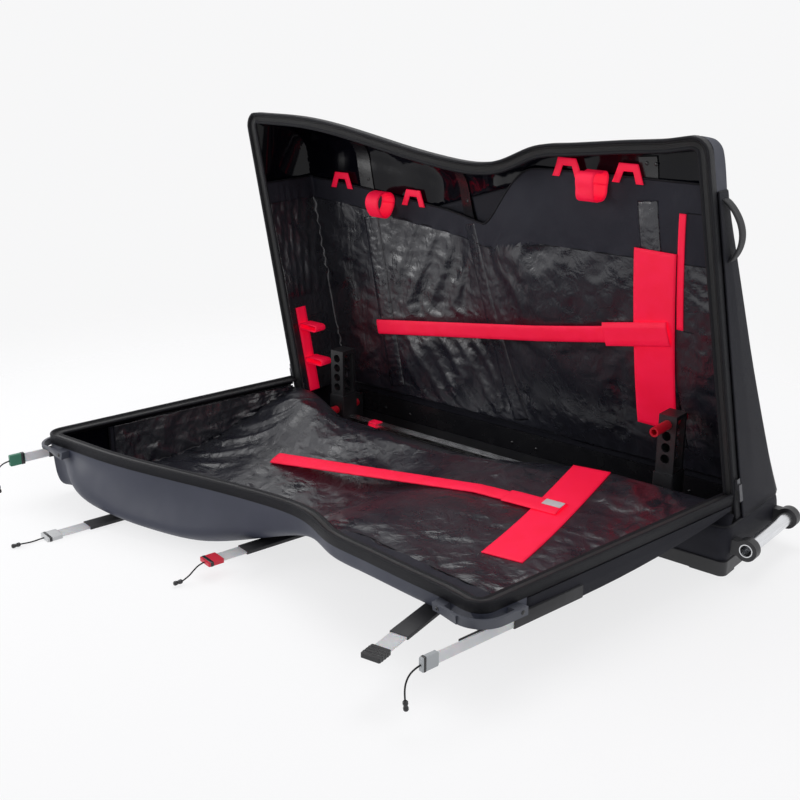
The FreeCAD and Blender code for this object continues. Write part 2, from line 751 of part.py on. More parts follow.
sides, ends = base_walls()
save("base_floor_pan", base_floor_pan())
save("base_side_walls", *sides)
save("base_end_walls", *ends)
save("corner_skids", *[base_block(SKID_PROUD, 0.0, PAN_HEIGHT).common(space) for space in SKID_SPACES])
save("wheel_housings", *[wheel_housing(y) for y in WHEEL_Y])
save("wheel_axles", *[axle_rod(y, AXLE_RADIUS) for y in WHEEL_Y])
save("wheel_near", wheel(WHEEL_Y[0]))
save("wheel_far", wheel(WHEEL_Y[1]))
save("hinge_flap", hinge_flap())
strip_back = BASE_BACK - SKIN
strip_low = PAN_HEIGHT + PAN_WALL
save("stiffener_strip", box(BASE_LEFT + STRIP_INSET, BASE_RIGHT - STRIP_INSET,
                            strip_back - SKIN, strip_back, strip_low, strip_low + STRIP_HEIGHT))


# Rail with its feet and ties
rail_low = RAIL_TOP - RAIL_HEIGHT
rail_front = RAIL_Y - RAIL_WIDTH / 2
rail_back = RAIL_Y + RAIL_WIDTH / 2


def rail_foot(x):
    half = RAIL_WIDTH / 2 - RAIL_FOOT_NARROW
    return box(x - RAIL_FOOT / 2, x + RAIL_FOOT / 2, RAIL_Y - half, RAIL_Y + half, PAN_WALL, rail_low)


def rail_tie(x):
    """Webbing loop round the rail, with a tail that runs to the front wall of the base."""
    near = x - TIE_WIDTH / 2
    far = x + TIE_WIDTH / 2
    inner = LAYER_GAP
    outer = LAYER_GAP + WEBBING
    loop = box(near, far, rail_front - outer, rail_back + outer, rail_low - outer, RAIL_TOP + outer)
    loop = loop.cut(box(near - MOUTH, far + MOUTH, rail_front - inner, rail_back + inner,
                        rail_low - inner, RAIL_TOP + inner))
    tail = box(near, far, BASE_FRONT + SKIN, rail_front - inner, RAIL_TOP, RAIL_TOP + WEBBING)
    return loop.fuse(tail)


save("rail", box(RAIL_LEFT, RAIL_RIGHT, rail_front, rail_back, rail_low, RAIL_TOP))
save("rail_feet", *[rail_foot(x) for x in RAIL_FOOT_X])
save("rail_ties", *[rail_tie(x) for x in TIE_X])


# Posts and their axle sleeves
def across(x, z, radius, length):
    return rod(radius, V(x, RAIL_Y - length / 2, z), V(x, RAIL_Y + length / 2, z))


def post_block(x, shoulder, sleeve_height):
    low = RAIL_TOP - POST_LEG
    solid = rounded_box(x - POST_LENGTH / 2, x + POST_LENGTH / 2,
                        RAIL_Y - POST_WIDTH / 2, RAIL_Y + POST_WIDTH / 2, low, shoulder, POST_ROUND)
    groove = box(x - POST_LENGTH, x + POST_LENGTH, rail_front - SLIDE_GAP, rail_back + SLIDE_GAP,
                 rail_low - MOUTH, RAIL_TOP + SLIDE_GAP)
    solid = solid.cut(groove).cut(ladder_block(x, shoulder - LADDER_SOCKET, shoulder))
    return solid.cut(across(x, sleeve_height, SLEEVE_RADIUS + TURN_GAP, POST_WIDTH * 2))


def ladder_block(x, low, high):
    return box(x - LADDER_LENGTH / 2, x + LADDER_LENGTH / 2,
               RAIL_Y - LADDER_WIDTH / 2, RAIL_Y + LADDER_WIDTH / 2, low, high)


def hole_heights(top):
    return [top - HOLE_DROP - HOLE_PITCH * i for i in range(HOLE_COUNT)]


def post_ladder(x, shoulder, top):
    solid = ladder_block(x, shoulder - LADDER_SOCKET, top)
    inner = LADDER_WIDTH / 2 - LADDER_WALL
    slot = box(x - LADDER_LENGTH / 2 + LADDER_WALL, x + LADDER_LENGTH, RAIL_Y - inner, RAIL_Y + inner,
               shoulder + LADDER_CAP / 2, top - LADDER_CAP)
    solid = solid.cut(slot)
    for z in hole_heights(top):
        solid = solid.cut(across(x, z, SLEEVE_RADIUS + TURN_GAP, POST_WIDTH * 2))
    return solid


def axle_sleeve(x, z, length, shift):
    sleeve = across(x, z, SLEEVE_RADIUS, length).cut(across(x, z, SLEEVE_BORE, length))
    return sleeve.translate(V(0, shift, 0))


rear_sleeve_height = hole_heights(REAR_TOP)[0]
save("front_post_block", post_block(FRONT_POST_X, FRONT_SHOULDER, FRONT_SLEEVE_HEIGHT))
save("front_post_ladder", post_ladder(FRONT_POST_X, FRONT_SHOULDER, FRONT_TOP))
save("front_axle_sleeve", axle_sleeve(FRONT_POST_X, FRONT_SLEEVE_HEIGHT, FRONT_SLEEVE_LENGTH, 0.0))
save("rear_post_block", post_block(REAR_POST_X, REAR_SHOULDER, FAR))
save("rear_post_ladder", post_ladder(REAR_POST_X, REAR_SHOULDER, REAR_TOP))
save("rear_axle_sleeve", axle_sleeve(REAR_POST_X, rear_sleeve_height, REAR_SLEEVE_LENGTH, REAR_SLEEVE_SHIFT))


# Grab bar and the side handle on the right end
bar_x = BASE_RIGHT + BAR_OUT
BRACKET_Y = (BASE_FRONT + BASE_CORNER, BASE_BACK - BASE_CORNER - BRACKET_WIDTH)


def grab_bar(radius):
    start = V(bar_x, BRACKET_Y[0], BAR_HEIGHT)
    return rod(radius, start, V(bar_x, BRACKET_Y[1] + BRACKET_WIDTH, BAR_HEIGHT))


def grab_bracket(y):
    eye = rod(BRACKET_EYE, V(bar_x, y, BAR_HEIGHT), V(bar_x, y + BRACKET_WIDTH, BAR_HEIGHT))
    arm = box(BASE_RIGHT, bar_x, y, y + BRACKET_WIDTH,
              BAR_HEIGHT - BRACKET_ARM / 2, BAR_HEIGHT + BRACKET_ARM / 2)
    return arm.fuse(eye).cut(grab_bar(BAR_RADIUS + SEAT_GAP)).removeSplitter()


def side_handle():
    """Arched webbing loop on the right end of the rear half."""
    low, high = HANDLE_RISE
    outwards = V(TOP_RIGHT_RISE, HINGE_RIGHT - TOP_RIGHT_X, 0).normalize()

    def arch(stand, spread):
        ends = [V(edge_x("right", rise), rise, 0) for rise in (low - spread, high + spread)]
        crown = (ends[0] + ends[1]) * 0.5 + outwards * stand
        return [rear.place(p.x, p.y, HANDLE_DEPTH[0]) for p in (ends[0], crown, ends[1])]

    outer = arch(HANDLE_STAND, 0.0)
    inner = arch(HANDLE_STAND - HANDLE_THICK, -HANDLE_THICK)
    edges = [Part.Arc(*outer).toShape(), Part.LineSegment(outer[2], inner[2]).toShape(),
             Part.Arc(*inner).toShape(), Part.LineSegment(inner[0], outer[0]).toShape()]
    return Part.Face(Part.Wire(edges)).extrude(V(0, HANDLE_DEPTH[1] - HANDLE_DEPTH[0], 0))


save("grab_bar", grab_bar(BAR_RADIUS).cut(grab_bar(BAR_RADIUS - BAR_WALL)))
save("grab_bar_brackets", *[grab_bracket(y) for y in BRACKET_Y])
save("side_handle", side_handle())


# Corner grips of the lid
def corner_grip(side):
    step = 1.0 if side == "left" else -1.0
    x = TOP_LEFT_X if side == "left" else TOP_RIGHT_X
    rise = top_rise(x)
    far_x = x - step * FAR
    far_rise = rise + FAR
    feet = (x + step * GRIP_FRONT, rise - GRIP_SIDE)
    open_ends = (x + step * (GRIP_FRONT - GRIP_FOOT), rise - GRIP_SIDE + GRIP_FOOT)
    whole, bar = [[(far_x, r), (e, r), (e, far_rise), (far_x, far_rise)] for e, r in (feet, open_ends)]
    low = GRIP_TOP + GRIP_HEIGHT
    band = lid.layer(-GRIP_STAND - GRIP_THICK, -LAYER_GAP).common(lid.region(whole, GRIP_TOP, low))
    gap = lid.layer(-GRIP_STAND, 0.0).common(lid.region(bar, 0.0, FAR))
    return band.cut(gap)


save("lid_corner_handles", corner_grip("left"), corner_grip("right"))


# Battens, their sleeves, clips and pull cords
sleeve_wall = SLEEVE_ROOM + SLEEVE_CLOTH
sleeve_half = BATTEN_THICK / 2 + sleeve_wall


class Batten:
    """A flat batten: where it leaves the lid, the way it slides, its size and its tab."""

    def __init__(self, origin, along, normal, width, tab, out):
        self.origin = origin
        self.along = along
        self.across = normal.cross(along)
        self.normal = normal
        self.width = width
        self.tab = tab
        self.end = tab + out

    def bar(self, start, end, width, low, high):
        solid = Part.makeBox(end - start, width, high - low, V(start, -width / 2, low))
        turn = FreeCAD.Rotation(self.along, self.across, self.normal, "XZY")
        solid.Placement = FreeCAD.Placement(self.origin, turn)
        return solid

    def flat(self, start, end, width, thick):
        return self.bar(start, end, width, -thick / 2, thick / 2)

    def blade(self):
        return self.flat(-BATTEN_INSIDE, self.end, self.width, BATTEN_THICK)

    def sleeve(self):
        outer = self.flat(-SLEEVE_INSIDE, self.tab, self.width + 2 * sleeve_wall, 2 * sleeve_half)
        room = self.flat(-FAR, FAR, self.width + 2 * SLEEVE_ROOM, BATTEN_THICK + 2 * SLEEVE_ROOM)
        return outer.cut(room)

    def clip(self):
        thick = BATTEN_THICK + 2 * CLIP_PROUD
        solid = self.flat(self.end, self.end + CLIP_LENGTH, self.width + 2 * CLIP_PROUD, thick)
        upright = [e for e in solid.Edges if e.tangentAt(e.FirstParameter).cross(self.normal).Length < 0.5]
        return solid.makeFillet(CLIP_PROUD, upright)

    def pull(self, places):
        start = self.origin + self.along * (self.end + CLIP_LENGTH)
        route = [start + self.along * out + V(0, 0, 1) * down for out, down in places]
        cord = tube(route, PULL_RADIUS)
        way = route[-1] - route[-2]
        hangs = -way.z > way.Length / 2
        if not hangs:
            way.z = 0.0
        return cord, rod(TOGGLE_RADIUS, route[-1], route[-1] + way.normalize() * TOGGLE_LENGTH)


def tube(route, radius):
    """Round cord along straight runs joined by the largest tangent arcs that fit them."""
    edges = []
    at = route[0]
    radii = []
    for before, corner, after in zip(route, route[1:], route[2:]):
        back = (before - corner).normalize()
        on = (after - corner).normalize()
        turn = math.pi - back.getAngle(on)
        trim = ARC_SHARE * min((before - corner).Length, (after - corner).Length)
        bend = trim / math.tan(turn / 2)
        radii.append(round(bend, 1))
        first = corner + back * trim
        last = corner + on * trim
        inwards = (back + on).normalize()
        middle = corner + inwards * (math.hypot(bend, trim) - bend)
        edges.append(Part.LineSegment(at, first).toShape())
        edges.append(Part.Arc(first, middle, last).toShape())
        at = last
    edges.append(Part.LineSegment(at, route[-1]).toShape())
    path = Part.Wire(edges)
    ring = Part.Wire(Part.makeCircle(radius, route[0], route[1] - route[0]))
    solid = path.makePipeShell([ring], True, True)
    plain = math.pi * radius ** 2 * path.Length
    share = round(solid.Volume / plain, 4)
    print("cord length", round(path.Length, 1), "radii", radii, "volume ratio", share)
    return solid


def face_batten(x, lean, tab, out):
    """Batten under the outer face of the lid, clear of the deepest place along its sleeve."""
    along = V(lean, -1, 0).normalize()
    half = BATTEN_WIDTH / 2 + sleeve_wall
    to_bulge = half if x < BULGE_X else -half
    rise = top_rise(x)
    backs = (EDGE_ROUND, SLEEVE_INSIDE / 2, SLEEVE_INSIDE)
    deep = max(lid.deep_at(x - lean * back + to_bulge, rise - back, 0.0) for back in backs)
    origin = lid.place(x, rise, deep + SLEEVE_SEAT + sleeve_half)
    return Batten(origin, along, V(0, 0, 1), BATTEN_WIDTH, tab, out)


def end_batten(side, tab, out):
    """Batten on the outside of one end of the lid."""
    rise = TOP_LEFT_RISE if side == "left" else TOP_RIGHT_RISE
    along = V(edge_x(side, rise) - edge_x(side, 0.0), -rise, 0).normalize()
    normal = V(0, 0, 1).cross(along)
    if side == "left":
        normal = normal * -1
    edge = lid.place(edge_x(side, rise), rise, END_BATTEN_DEPTH)
    return Batten(edge + normal * (LAYER_GAP + sleeve_half), along, normal, END_BATTEN_WIDTH, tab, out)


BATTENS = {
    "green": end_batten("left", GREEN_TAB, GREEN_OUT),
    "white": face_batten(WHITE_X, rib_lean(WHITE_X), WHITE_TAB, WHITE_OUT),
    "red": face_batten(RED_X, rib_lean(RED_X), RED_TAB, RED_OUT),
    "black": face_batten(BLACK_X, BLACK_LEAN, BLACK_TAB, BLACK_OUT),
    "grey": end_batten("right", GREY_TAB, GREY_OUT),
}
PULLS = {"green": HANGING_PULL, "white": FLOOR_PULL, "red": LOW_PULL, "grey": HANGING_PULL}

for name, batten in BATTENS.items():
    save("batten_" + name, batten.blade())
    save("clip_" + name, batten.clip())
    if name in PULLS:
        save("pull_" + name, *batten.pull(PULLS[name]))

grey = BATTENS["grey"]
flap = grey.bar(GREY_TAB, GREY_TAB + FLAP_LENGTH, FLAP_WIDTH, -sleeve_half, -sleeve_half + SLEEVE_CLOTH)
sleeves = [batten.sleeve() for batten in BATTENS.values()]
sleeves[-1] = sleeves[-1].fuse(flap)
save("batten_sleeves", *sleeves)


# Zip sliders
def zip_slider(side):
    """Slider on the outer edge of the rear rim, with its puller hanging down."""
    sign = -1.0 if side == "left" else 1.0
    up = V(edge_x(side, 1.0) - edge_x(side, 0.0), 0, 1).normalize()
    out = V(0, sign, 0).cross(up)
    origin = rear.place(edge_x(side, SLIDER_RISE), SLIDER_RISE, RIM_HEIGHT / 2) + out * LAYER_GAP
    turn = FreeCAD.Rotation(out, V(0, 1, 0), up, "XZY")
    half = SLIDER_WIDTH / 2
    body = box(0.0, SLIDER_THICK, -half, half, -SLIDER_LENGTH / 2, SLIDER_LENGTH / 2)
    puller = box(SLIDER_THICK, SLIDER_THICK + PULLER_THICK, -half, half, -PULLER_LENGTH, 0.0)
    solid = body.fuse(puller).removeSplitter()
    solid.Placement = FreeCAD.Placement(origin, turn)
    return solid


save("zip_slider_left", zip_slider("left"))
save("zip_slider_right", zip_slider("right"))
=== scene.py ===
# %% [markdown]
# # A bike travel case, lying open
# The case is a tall padded bag. Its rear half stands on a wheeled base, and its lid is unzipped and folded
# down to the floor. The construction comes in as a fixed frame, and every piece below is dressed around it.
# All sizes are in metres, with X along the case, Y from the lid to the back and Z up.

# %% Load the frame
import json
import math

import bmesh
import bpy
from mathutils import Matrix, Vector, noise
from mathutils.bvhtree import BVHTree

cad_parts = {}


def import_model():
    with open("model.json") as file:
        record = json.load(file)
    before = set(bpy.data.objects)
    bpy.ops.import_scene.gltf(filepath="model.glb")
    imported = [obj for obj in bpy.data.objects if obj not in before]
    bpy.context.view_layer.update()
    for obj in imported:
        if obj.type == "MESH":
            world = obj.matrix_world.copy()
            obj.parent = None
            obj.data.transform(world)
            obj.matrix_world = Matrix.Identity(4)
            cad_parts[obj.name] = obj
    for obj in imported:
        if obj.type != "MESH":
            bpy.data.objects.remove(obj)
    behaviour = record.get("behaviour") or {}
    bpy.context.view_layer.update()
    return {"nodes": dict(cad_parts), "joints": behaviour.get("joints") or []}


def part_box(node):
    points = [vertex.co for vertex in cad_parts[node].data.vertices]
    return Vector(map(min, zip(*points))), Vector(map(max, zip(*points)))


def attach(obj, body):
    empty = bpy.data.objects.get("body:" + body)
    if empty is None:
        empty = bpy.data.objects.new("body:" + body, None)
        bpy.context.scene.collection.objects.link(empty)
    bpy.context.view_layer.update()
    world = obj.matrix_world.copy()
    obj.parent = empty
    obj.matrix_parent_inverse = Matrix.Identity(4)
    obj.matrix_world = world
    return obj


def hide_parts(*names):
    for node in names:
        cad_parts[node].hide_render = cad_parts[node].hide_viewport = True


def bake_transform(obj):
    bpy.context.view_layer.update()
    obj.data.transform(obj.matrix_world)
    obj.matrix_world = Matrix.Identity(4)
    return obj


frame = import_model()
nodes = frame["nodes"]
axes = {joint["child"]: Vector(joint["axis"]) for joint in frame["joints"]}
UP = Vector((0.0, 0.0, 1.0))
FAR = 3.0

# %% [markdown]
# ## Camera
# The view was fitted to the edges of the case: a long lens, a little above the rim, looking across the
# right front corner. A camera is aimed by its distance, azimuth and elevation about a target point.

# %% Camera
CAMERA_AZIMUTH = math.radians(39.64)
CAMERA_ELEVATION = math.radians(18.79)
CAMERA_DISTANCE = 2.790
CAMERA_TARGET = Vector((-0.2451, 0.0, 0.1699))
CAMERA_LENS = 52.97
CAMERA_SENSOR = 36.0

level = math.cos(CAMERA_ELEVATION)
backwards = Vector((math.sin(CAMERA_AZIMUTH) * level, -math.cos(CAMERA_AZIMUTH) * level,
                    math.sin(CAMERA_ELEVATION)))
camera_data = bpy.data.cameras.new("photo_camera")
camera_data.lens = CAMERA_LENS
camera_data.sensor_width = CAMERA_SENSOR
camera = bpy.data.objects.new("photo_camera", camera_data)
camera.location = CAMERA_TARGET + backwards * CAMERA_DISTANCE
camera.rotation_mode = "QUATERNION"
camera.rotation_quaternion = (-backwards).to_track_quat("-Z", "Y")
bpy.context.scene.collection.objects.link(camera)
bpy.context.scene.camera = camera
print("camera at", camera.location)

# %% [markdown]
# ## Floor and light
# The floor and the backdrop are one pale sweep with no horizon. The floor keeps the shadow of the case, and
# fades into the world a little way out. Three large soft lamps do the work of a photo studio: one overhead
# for the broad sheen on the dark cloth, one from the left front for the shell, and one at the right end.

# %% Floor and lamps
FLOOR_SIZE = 12.0
FLOOR_MIDDLE = (-0.1, -0.25, 0.0)
FLOOR_FADE = (0.95, 2.2)
BACKDROP = (0.93, 0.93, 0.935, 1.0)
FLOOR_COLOUR = (0.22, 0.22, 0.225, 1.0)
FLOOR_GLOW = 0.80
FLOOR_ROUGHNESS = 0.9
FILL_STRENGTH = 0.42
LAMPS = (
    ("overhead", (-0.5, 0.5, 2.9), (-0.1, -0.1, 0.3), (2.6, 1.8), 42.0),
    ("left_front", (-2.7, -2.3, 1.25), (-0.3, -0.1, 0.3), (2.2, 1.4), 48.0),
    ("right_end", (3.0, -0.8, 1.8), (0.4, 0.0, 0.4), (1.4, 1.8), 12.0),
)


def lamp(name, place, target, size, power):
    data = bpy.data.lights.new(name, "AREA")
    data.shape = "RECTANGLE"
    data.size = size[0]
    data.size_y = size[1]
    data.energy = power
    light = bpy.data.objects.new(name, data)
    light.location = place
    light.rotation_mode = "QUATERNION"
    light.rotation_quaternion = (Vector(target) - Vector(place)).to_track_quat("-Z", "Y")
    bpy.context.scene.collection.objects.link(light)


def fading_floor():
    """Pale matt surface that turns see-through with the distance from the case."""
    material = bpy.data.materials.new("pale_floor")
    material.use_nodes = True
    tree = material.node_tree
    shader = tree.nodes["Principled BSDF"]
    shader.inputs["Base Color"].default_value = FLOOR_COLOUR
    shader.inputs["Roughness"].default_value = FLOOR_ROUGHNESS
    shader.inputs["Emission Color"].default_value = BACKDROP
    shader.inputs["Emission Strength"].default_value = FLOOR_GLOW
    clear = tree.nodes.new("ShaderNodeBsdfTransparent")
    place = tree.nodes.new("ShaderNodeTexCoord")
    reach = tree.nodes.new("ShaderNodeVectorMath")
    reach.operation = "DISTANCE"
    reach.inputs[1].default_value = FLOOR_MIDDLE
    fade = tree.nodes.new("ShaderNodeMapRange")
    fade.interpolation_type = "SMOOTHSTEP"
    fade.inputs["From Min"].default_value = FLOOR_FADE[0]
    fade.inputs["From Max"].default_value = FLOOR_FADE[1]
    mix = tree.nodes.new("ShaderNodeMixShader")
    tree.links.new(place.outputs["Object"], reach.inputs[0])
    tree.links.new(reach.outputs["Value"], fade.inputs["Value"])
    tree.links.new(fade.outputs["Result"], mix.inputs["Fac"])
    tree.links.new(shader.outputs["BSDF"], mix.inputs[1])
    tree.links.new(clear.outputs["BSDF"], mix.inputs[2])
    tree.links.new(mix.outputs["Shader"], tree.nodes["Material Output"].inputs["Surface"])
    return material


floor_mesh = bpy.data.meshes.new("floor")
floor_form = bmesh.new()
bmesh.ops.create_grid(floor_form, x_segments=1, y_segments=1, size=FLOOR_SIZE / 2)
floor_form.to_mesh(floor_mesh)
floor_form.free()
floor = bpy.data.objects.new("floor", floor_mesh)
bpy.context.scene.collection.objects.link(floor)
floor_mesh.materials.append(fading_floor())

for row in LAMPS:
    lamp(*row)
print("floor and", len(LAMPS), "lamps")

# %% [markdown]
# ### World
# The world is the white backdrop. It could light the case as well, but then the dark cloth would look grey.
# So a Light Path node asks what sees it: the camera, a shiny surface and clear plastic see the full white,
# and all other light from it is a weak fill.

# %% World
world = bpy.data.worlds.new("studio")
bpy.context.scene.world = world
world.use_nodes = True
sky_nodes = world.node_tree.nodes
sky_links = world.node_tree.links
sky = sky_nodes["Background"]
sky.inputs["Color"].default_value = BACKDROP
path_kind = sky_nodes.new("ShaderNodeLightPath")
seen = sky_nodes.new("ShaderNodeMath")
seen.operation = "MAXIMUM"
seen_clear = sky_nodes.new("ShaderNodeMath")
seen_clear.operation = "MAXIMUM"
brighten = sky_nodes.new("ShaderNodeMapRange")
brighten.inputs["To Min"].default_value = FILL_STRENGTH
brighten.inputs["To Max"].default_value = 1.0
sky_links.new(path_kind.outputs["Is Camera Ray"], seen.inputs[0])
sky_links.new(path_kind.outputs["Is Transmission Ray"], seen.inputs[1])
sky_links.new(seen.outputs["Value"], seen_clear.inputs[0])
sky_links.new(path_kind.outputs["Is Glossy Ray"], seen_clear.inputs[1])
sky_links.new(seen_clear.outputs["Value"], brighten.inputs["Value"])
sky_links.new(brighten.outputs["Result"], sky.inputs["Strength"])
bpy.context.scene.view_settings.view_transform = "Standard"
print("world:", len(sky_nodes), "nodes")

# %% [markdown]
# ## Finishes
# A real surface is never one flat colour. Each finish here is a Principled shader with a little pattern on
# it: grain, weave, crinkle or brushing. A pattern drives the bump, and often the roughness and the colour
# too. Patterns are placed by Object coordinates, or by a UV map in metres where they follow a strip of
# cloth.

# %% Finish helper
class Finish:
    """A Principled material with a few patterns wired to its colour, roughness and bump."""

    def __init__(self, name, colour, roughness, **sockets):
        self.material = bpy.data.materials.new(name)
        self.material.use_nodes = True
        self.tree = self.material.node_tree
        self.shader = self.tree.nodes["Principled BSDF"]
        self.colour = (*colour, 1.0)
        self.shader.inputs["Base Color"].default_value = self.colour
        self.shader.inputs["Roughness"].default_value = roughness
        for socket, value in sockets.items():
            self.shader.inputs[socket.replace("_", " ")].default_value = value
        self.coords = self.tree.nodes.new("ShaderNodeTexCoord")
        self.normal = None

    def place(self, kind="Object", stretch=(1.0, 1.0, 1.0), turn=(0.0, 0.0, 0.0)):
        mapping = self.tree.nodes.new("ShaderNodeMapping")
        mapping.inputs["Scale"].default_value = stretch
        mapping.inputs["Rotation"].default_value = turn
        self.tree.links.new(self.coords.outputs[kind], mapping.inputs["Vector"])
        return mapping.outputs["Vector"]

    def noise(self, where, scale, detail=3.0, rough=0.5, distort=0.0):
        pattern = self.tree.nodes.new("ShaderNodeTexNoise")
        settings = {"Scale": scale, "Detail": detail, "Roughness": rough, "Distortion": distort}
        for socket, value in settings.items():
            pattern.inputs[socket].default_value = value
        self.tree.links.new(where, pattern.inputs["Vector"])
        return pattern.outputs["Fac"]

    def cells(self, where, scale):
        """Distance to the edge of a cell: sharp creases between flat facets."""
        pattern = self.tree.nodes.new("ShaderNodeTexVoronoi")
        pattern.feature = "DISTANCE_TO_EDGE"
        pattern.inputs["Scale"].default_value = scale
        self.tree.links.new(where, pattern.inputs["Vector"])
        return pattern.outputs["Distance"]

    def wave(self, where, scale, direction, distort=0.0):
        pattern = self.tree.nodes.new("ShaderNodeTexWave")
        pattern.bands_direction = direction
        pattern.inputs["Scale"].default_value = scale
        pattern.inputs["Distortion"].default_value = distort
        self.tree.links.new(where, pattern.inputs["Vector"])
        return pattern.outputs["Fac"]

    def mix(self, a, b, operation="MULTIPLY"):
        node = self.tree.nodes.new("ShaderNodeMath")
        node.operation = operation
        for socket, value in zip(node.inputs, (a, b)):
            if isinstance(value, float):
                socket.default_value = value
            else:
                self.tree.links.new(value, socket)
        return node.outputs["Value"]

    def span(self, value, low, high, start=0.3, end=0.7):
        node = self.tree.nodes.new("ShaderNodeMapRange")
        for socket, number in (("From Min", start), ("From Max", end), ("To Min", low), ("To Max", high)):
            node.inputs[socket].default_value = number
        self.tree.links.new(value, node.inputs["Value"])
        return node.outputs["Result"]

    def bump(self, height, strength, depth):
        node = self.tree.nodes.new("ShaderNodeBump")
        node.inputs["Strength"].default_value = strength
        node.inputs["Distance"].default_value = depth
        self.tree.links.new(height, node.inputs["Height"])
        if self.normal is not None:
            self.tree.links.new(self.normal, node.inputs["Normal"])
        self.normal = node.outputs["Normal"]
        self.tree.links.new(self.normal, self.shader.inputs["Normal"])
        return self

    def roughen(self, value, low, high):
        self.tree.links.new(self.span(value, low, high), self.shader.inputs["Roughness"])
        return self

    def tint(self, value, other, start=0.3, end=0.7):
        """Goes from the plain colour to another one where the pattern is high."""
        ramp = self.tree.nodes.new("ShaderNodeMix")
        ramp.data_type = "RGBA"
        ramp.inputs["A"].default_value = self.colour
        ramp.inputs["B"].default_value = (*other, 1.0)
        self.tree.links.new(self.span(value, 0.0, 1.0, start, end), ramp.inputs["Factor"])
        self.tree.links.new(ramp.outputs["Result"], self.shader.inputs["Base Color"])
        return self


print("finish helper ready")

# %% [markdown]
# ### Plastics and metals
# The shells are vacuum-formed plastic with a fine leather grain, slate grey outside and glossy black
# inside. Mouldings are black with a finer grain. Aluminium is brushed along its length: the noise is
# stretched along X or Y, so it turns into fine lines.

# %% Hard finishes
SLATE = (0.030, 0.034, 0.054)
SLATE_WORN = (0.039, 0.043, 0.066)


def grained(name, colour, worn, roughness, grain, depth, **sockets):
    finish = Finish(name, colour, roughness, **sockets)
    where = finish.place()
    finish.tint(finish.noise(where, 9.0, 4.0), worn)
    finish.roughen(finish.noise(where, 24.0, 3.0), roughness - 0.05, roughness + 0.06)
    finish.bump(finish.cells(where, grain), 0.25, depth)
    finish.bump(finish.noise(where, grain * 1.7, 2.0), 0.2, depth)
    return finish.material


def brushed(name, colour, roughness, stretch):
    finish = Finish(name, colour, roughness, Metallic=1.0)
    lines = finish.noise(finish.place(stretch=stretch), 900.0, 4.0)
    finish.tint(lines, tuple(0.8 * c for c in colour))
    finish.roughen(lines, roughness - 0.06, roughness + 0.08)
    finish.bump(lines, 0.15, 0.0003)
    return finish.material


shell_plastic = grained("shell_plastic", SLATE, SLATE_WORN, 0.50, 900.0, 0.0004, Specular_IOR_Level=0.38)
grip_plastic = grained("grip_plastic", (0.052, 0.057, 0.075), (0.070, 0.075, 0.095), 0.42, 1200.0, 0.0003)
black_plastic = grained("black_plastic", (0.011, 0.011, 0.013), (0.018, 0.018, 0.021), 0.42, 1400.0, 0.0003)
satin_plastic = grained("satin_black_plastic", (0.007, 0.007, 0.009), (0.012, 0.012, 0.014), 0.24, 700.0,
                        0.0002)
red_plastic = grained("red_plastic", (0.62, 0.006, 0.024), (0.50, 0.004, 0.018), 0.36, 1500.0, 0.0002)
rubber = grained("wheel_rubber", (0.014, 0.014, 0.015), (0.024, 0.023, 0.022), 0.66, 800.0, 0.0005)
aluminium_x = brushed("aluminium_along_x", (0.80, 0.81, 0.83), 0.26, (0.02, 1.0, 1.0))
aluminium_y = brushed("aluminium_along_y", (0.80, 0.81, 0.83), 0.26, (1.0, 0.02, 1.0))
steel = brushed("steel", (0.56, 0.56, 0.58), 0.30, (1.0, 0.05, 1.0))
dark_metal = brushed("dark_zip_metal", (0.10, 0.10, 0.11), 0.34, (1.0, 1.0, 0.1))


def lining_gloss():
    finish = Finish("shell_lining_gloss", (0.0028, 0.0028, 0.0055), 0.10, Specular_IOR_Level=0.20)
    where = finish.place()
    finish.roughen(finish.noise(where, 14.0, 4.0), 0.07, 0.17)
    finish.bump(finish.wave(finish.place(stretch=(1.0, 1.0, 0.1)), 2.2, "X", 0.2), 0.30, 0.02)
    finish.bump(finish.noise(finish.place(stretch=(1.0, 1.0, 0.25)), 16.0, 2.0), 0.30, 0.006)
    return finish.material


def milky_plastic():
    finish = Finish("milky_batten_plastic", (0.80, 0.81, 0.83), 0.34, Transmission_Weight=0.25,
                    Subsurface_Weight=0.2, Subsurface_Scale=0.004)
    where = finish.place()
    finish.tint(finish.noise(where, 20.0, 3.0), (0.72, 0.73, 0.76))
    finish.bump(finish.noise(where, 400.0, 2.0), 0.08, 0.0003)
    return finish.material


shell_lining = lining_gloss()
milky = milky_plastic()
CLIP_COLOURS = {
    "green": ((0.030, 0.170, 0.105), (0.040, 0.200, 0.130)),
    "white": ((0.62, 0.63, 0.64), (0.55, 0.56, 0.57)),
    "red": ((0.66, 0.010, 0.040), (0.55, 0.008, 0.030)),
    "black": ((0.010, 0.010, 0.012), (0.016, 0.016, 0.018)),
    "grey": ((0.40, 0.42, 0.44), (0.34, 0.36, 0.38)),
}
CLIP_GRAIN = (0.40, 1500.0, 0.0002)
clip_finish = {colour: grained(colour + "_clip", plain, worn, *CLIP_GRAIN)
               for colour, (plain, worn) in CLIP_COLOURS.items()}
print("hard finishes:", len(bpy.data.materials))

# %% [markdown]
# ### Cloth
# Three cloths make the bag. The liner is a thin coated nylon, so it is shiny and full of small sharp
# creases. The outside is a tough matt weave. The webbing is a soft brushed tape. Warp and weft are two sets
# of waves over a UV map that is measured in metres, so one thread is one thread anywhere on the case.

# %% Cloth finishes
THREADS = 620.0
TAPE_RIBS = 330.0


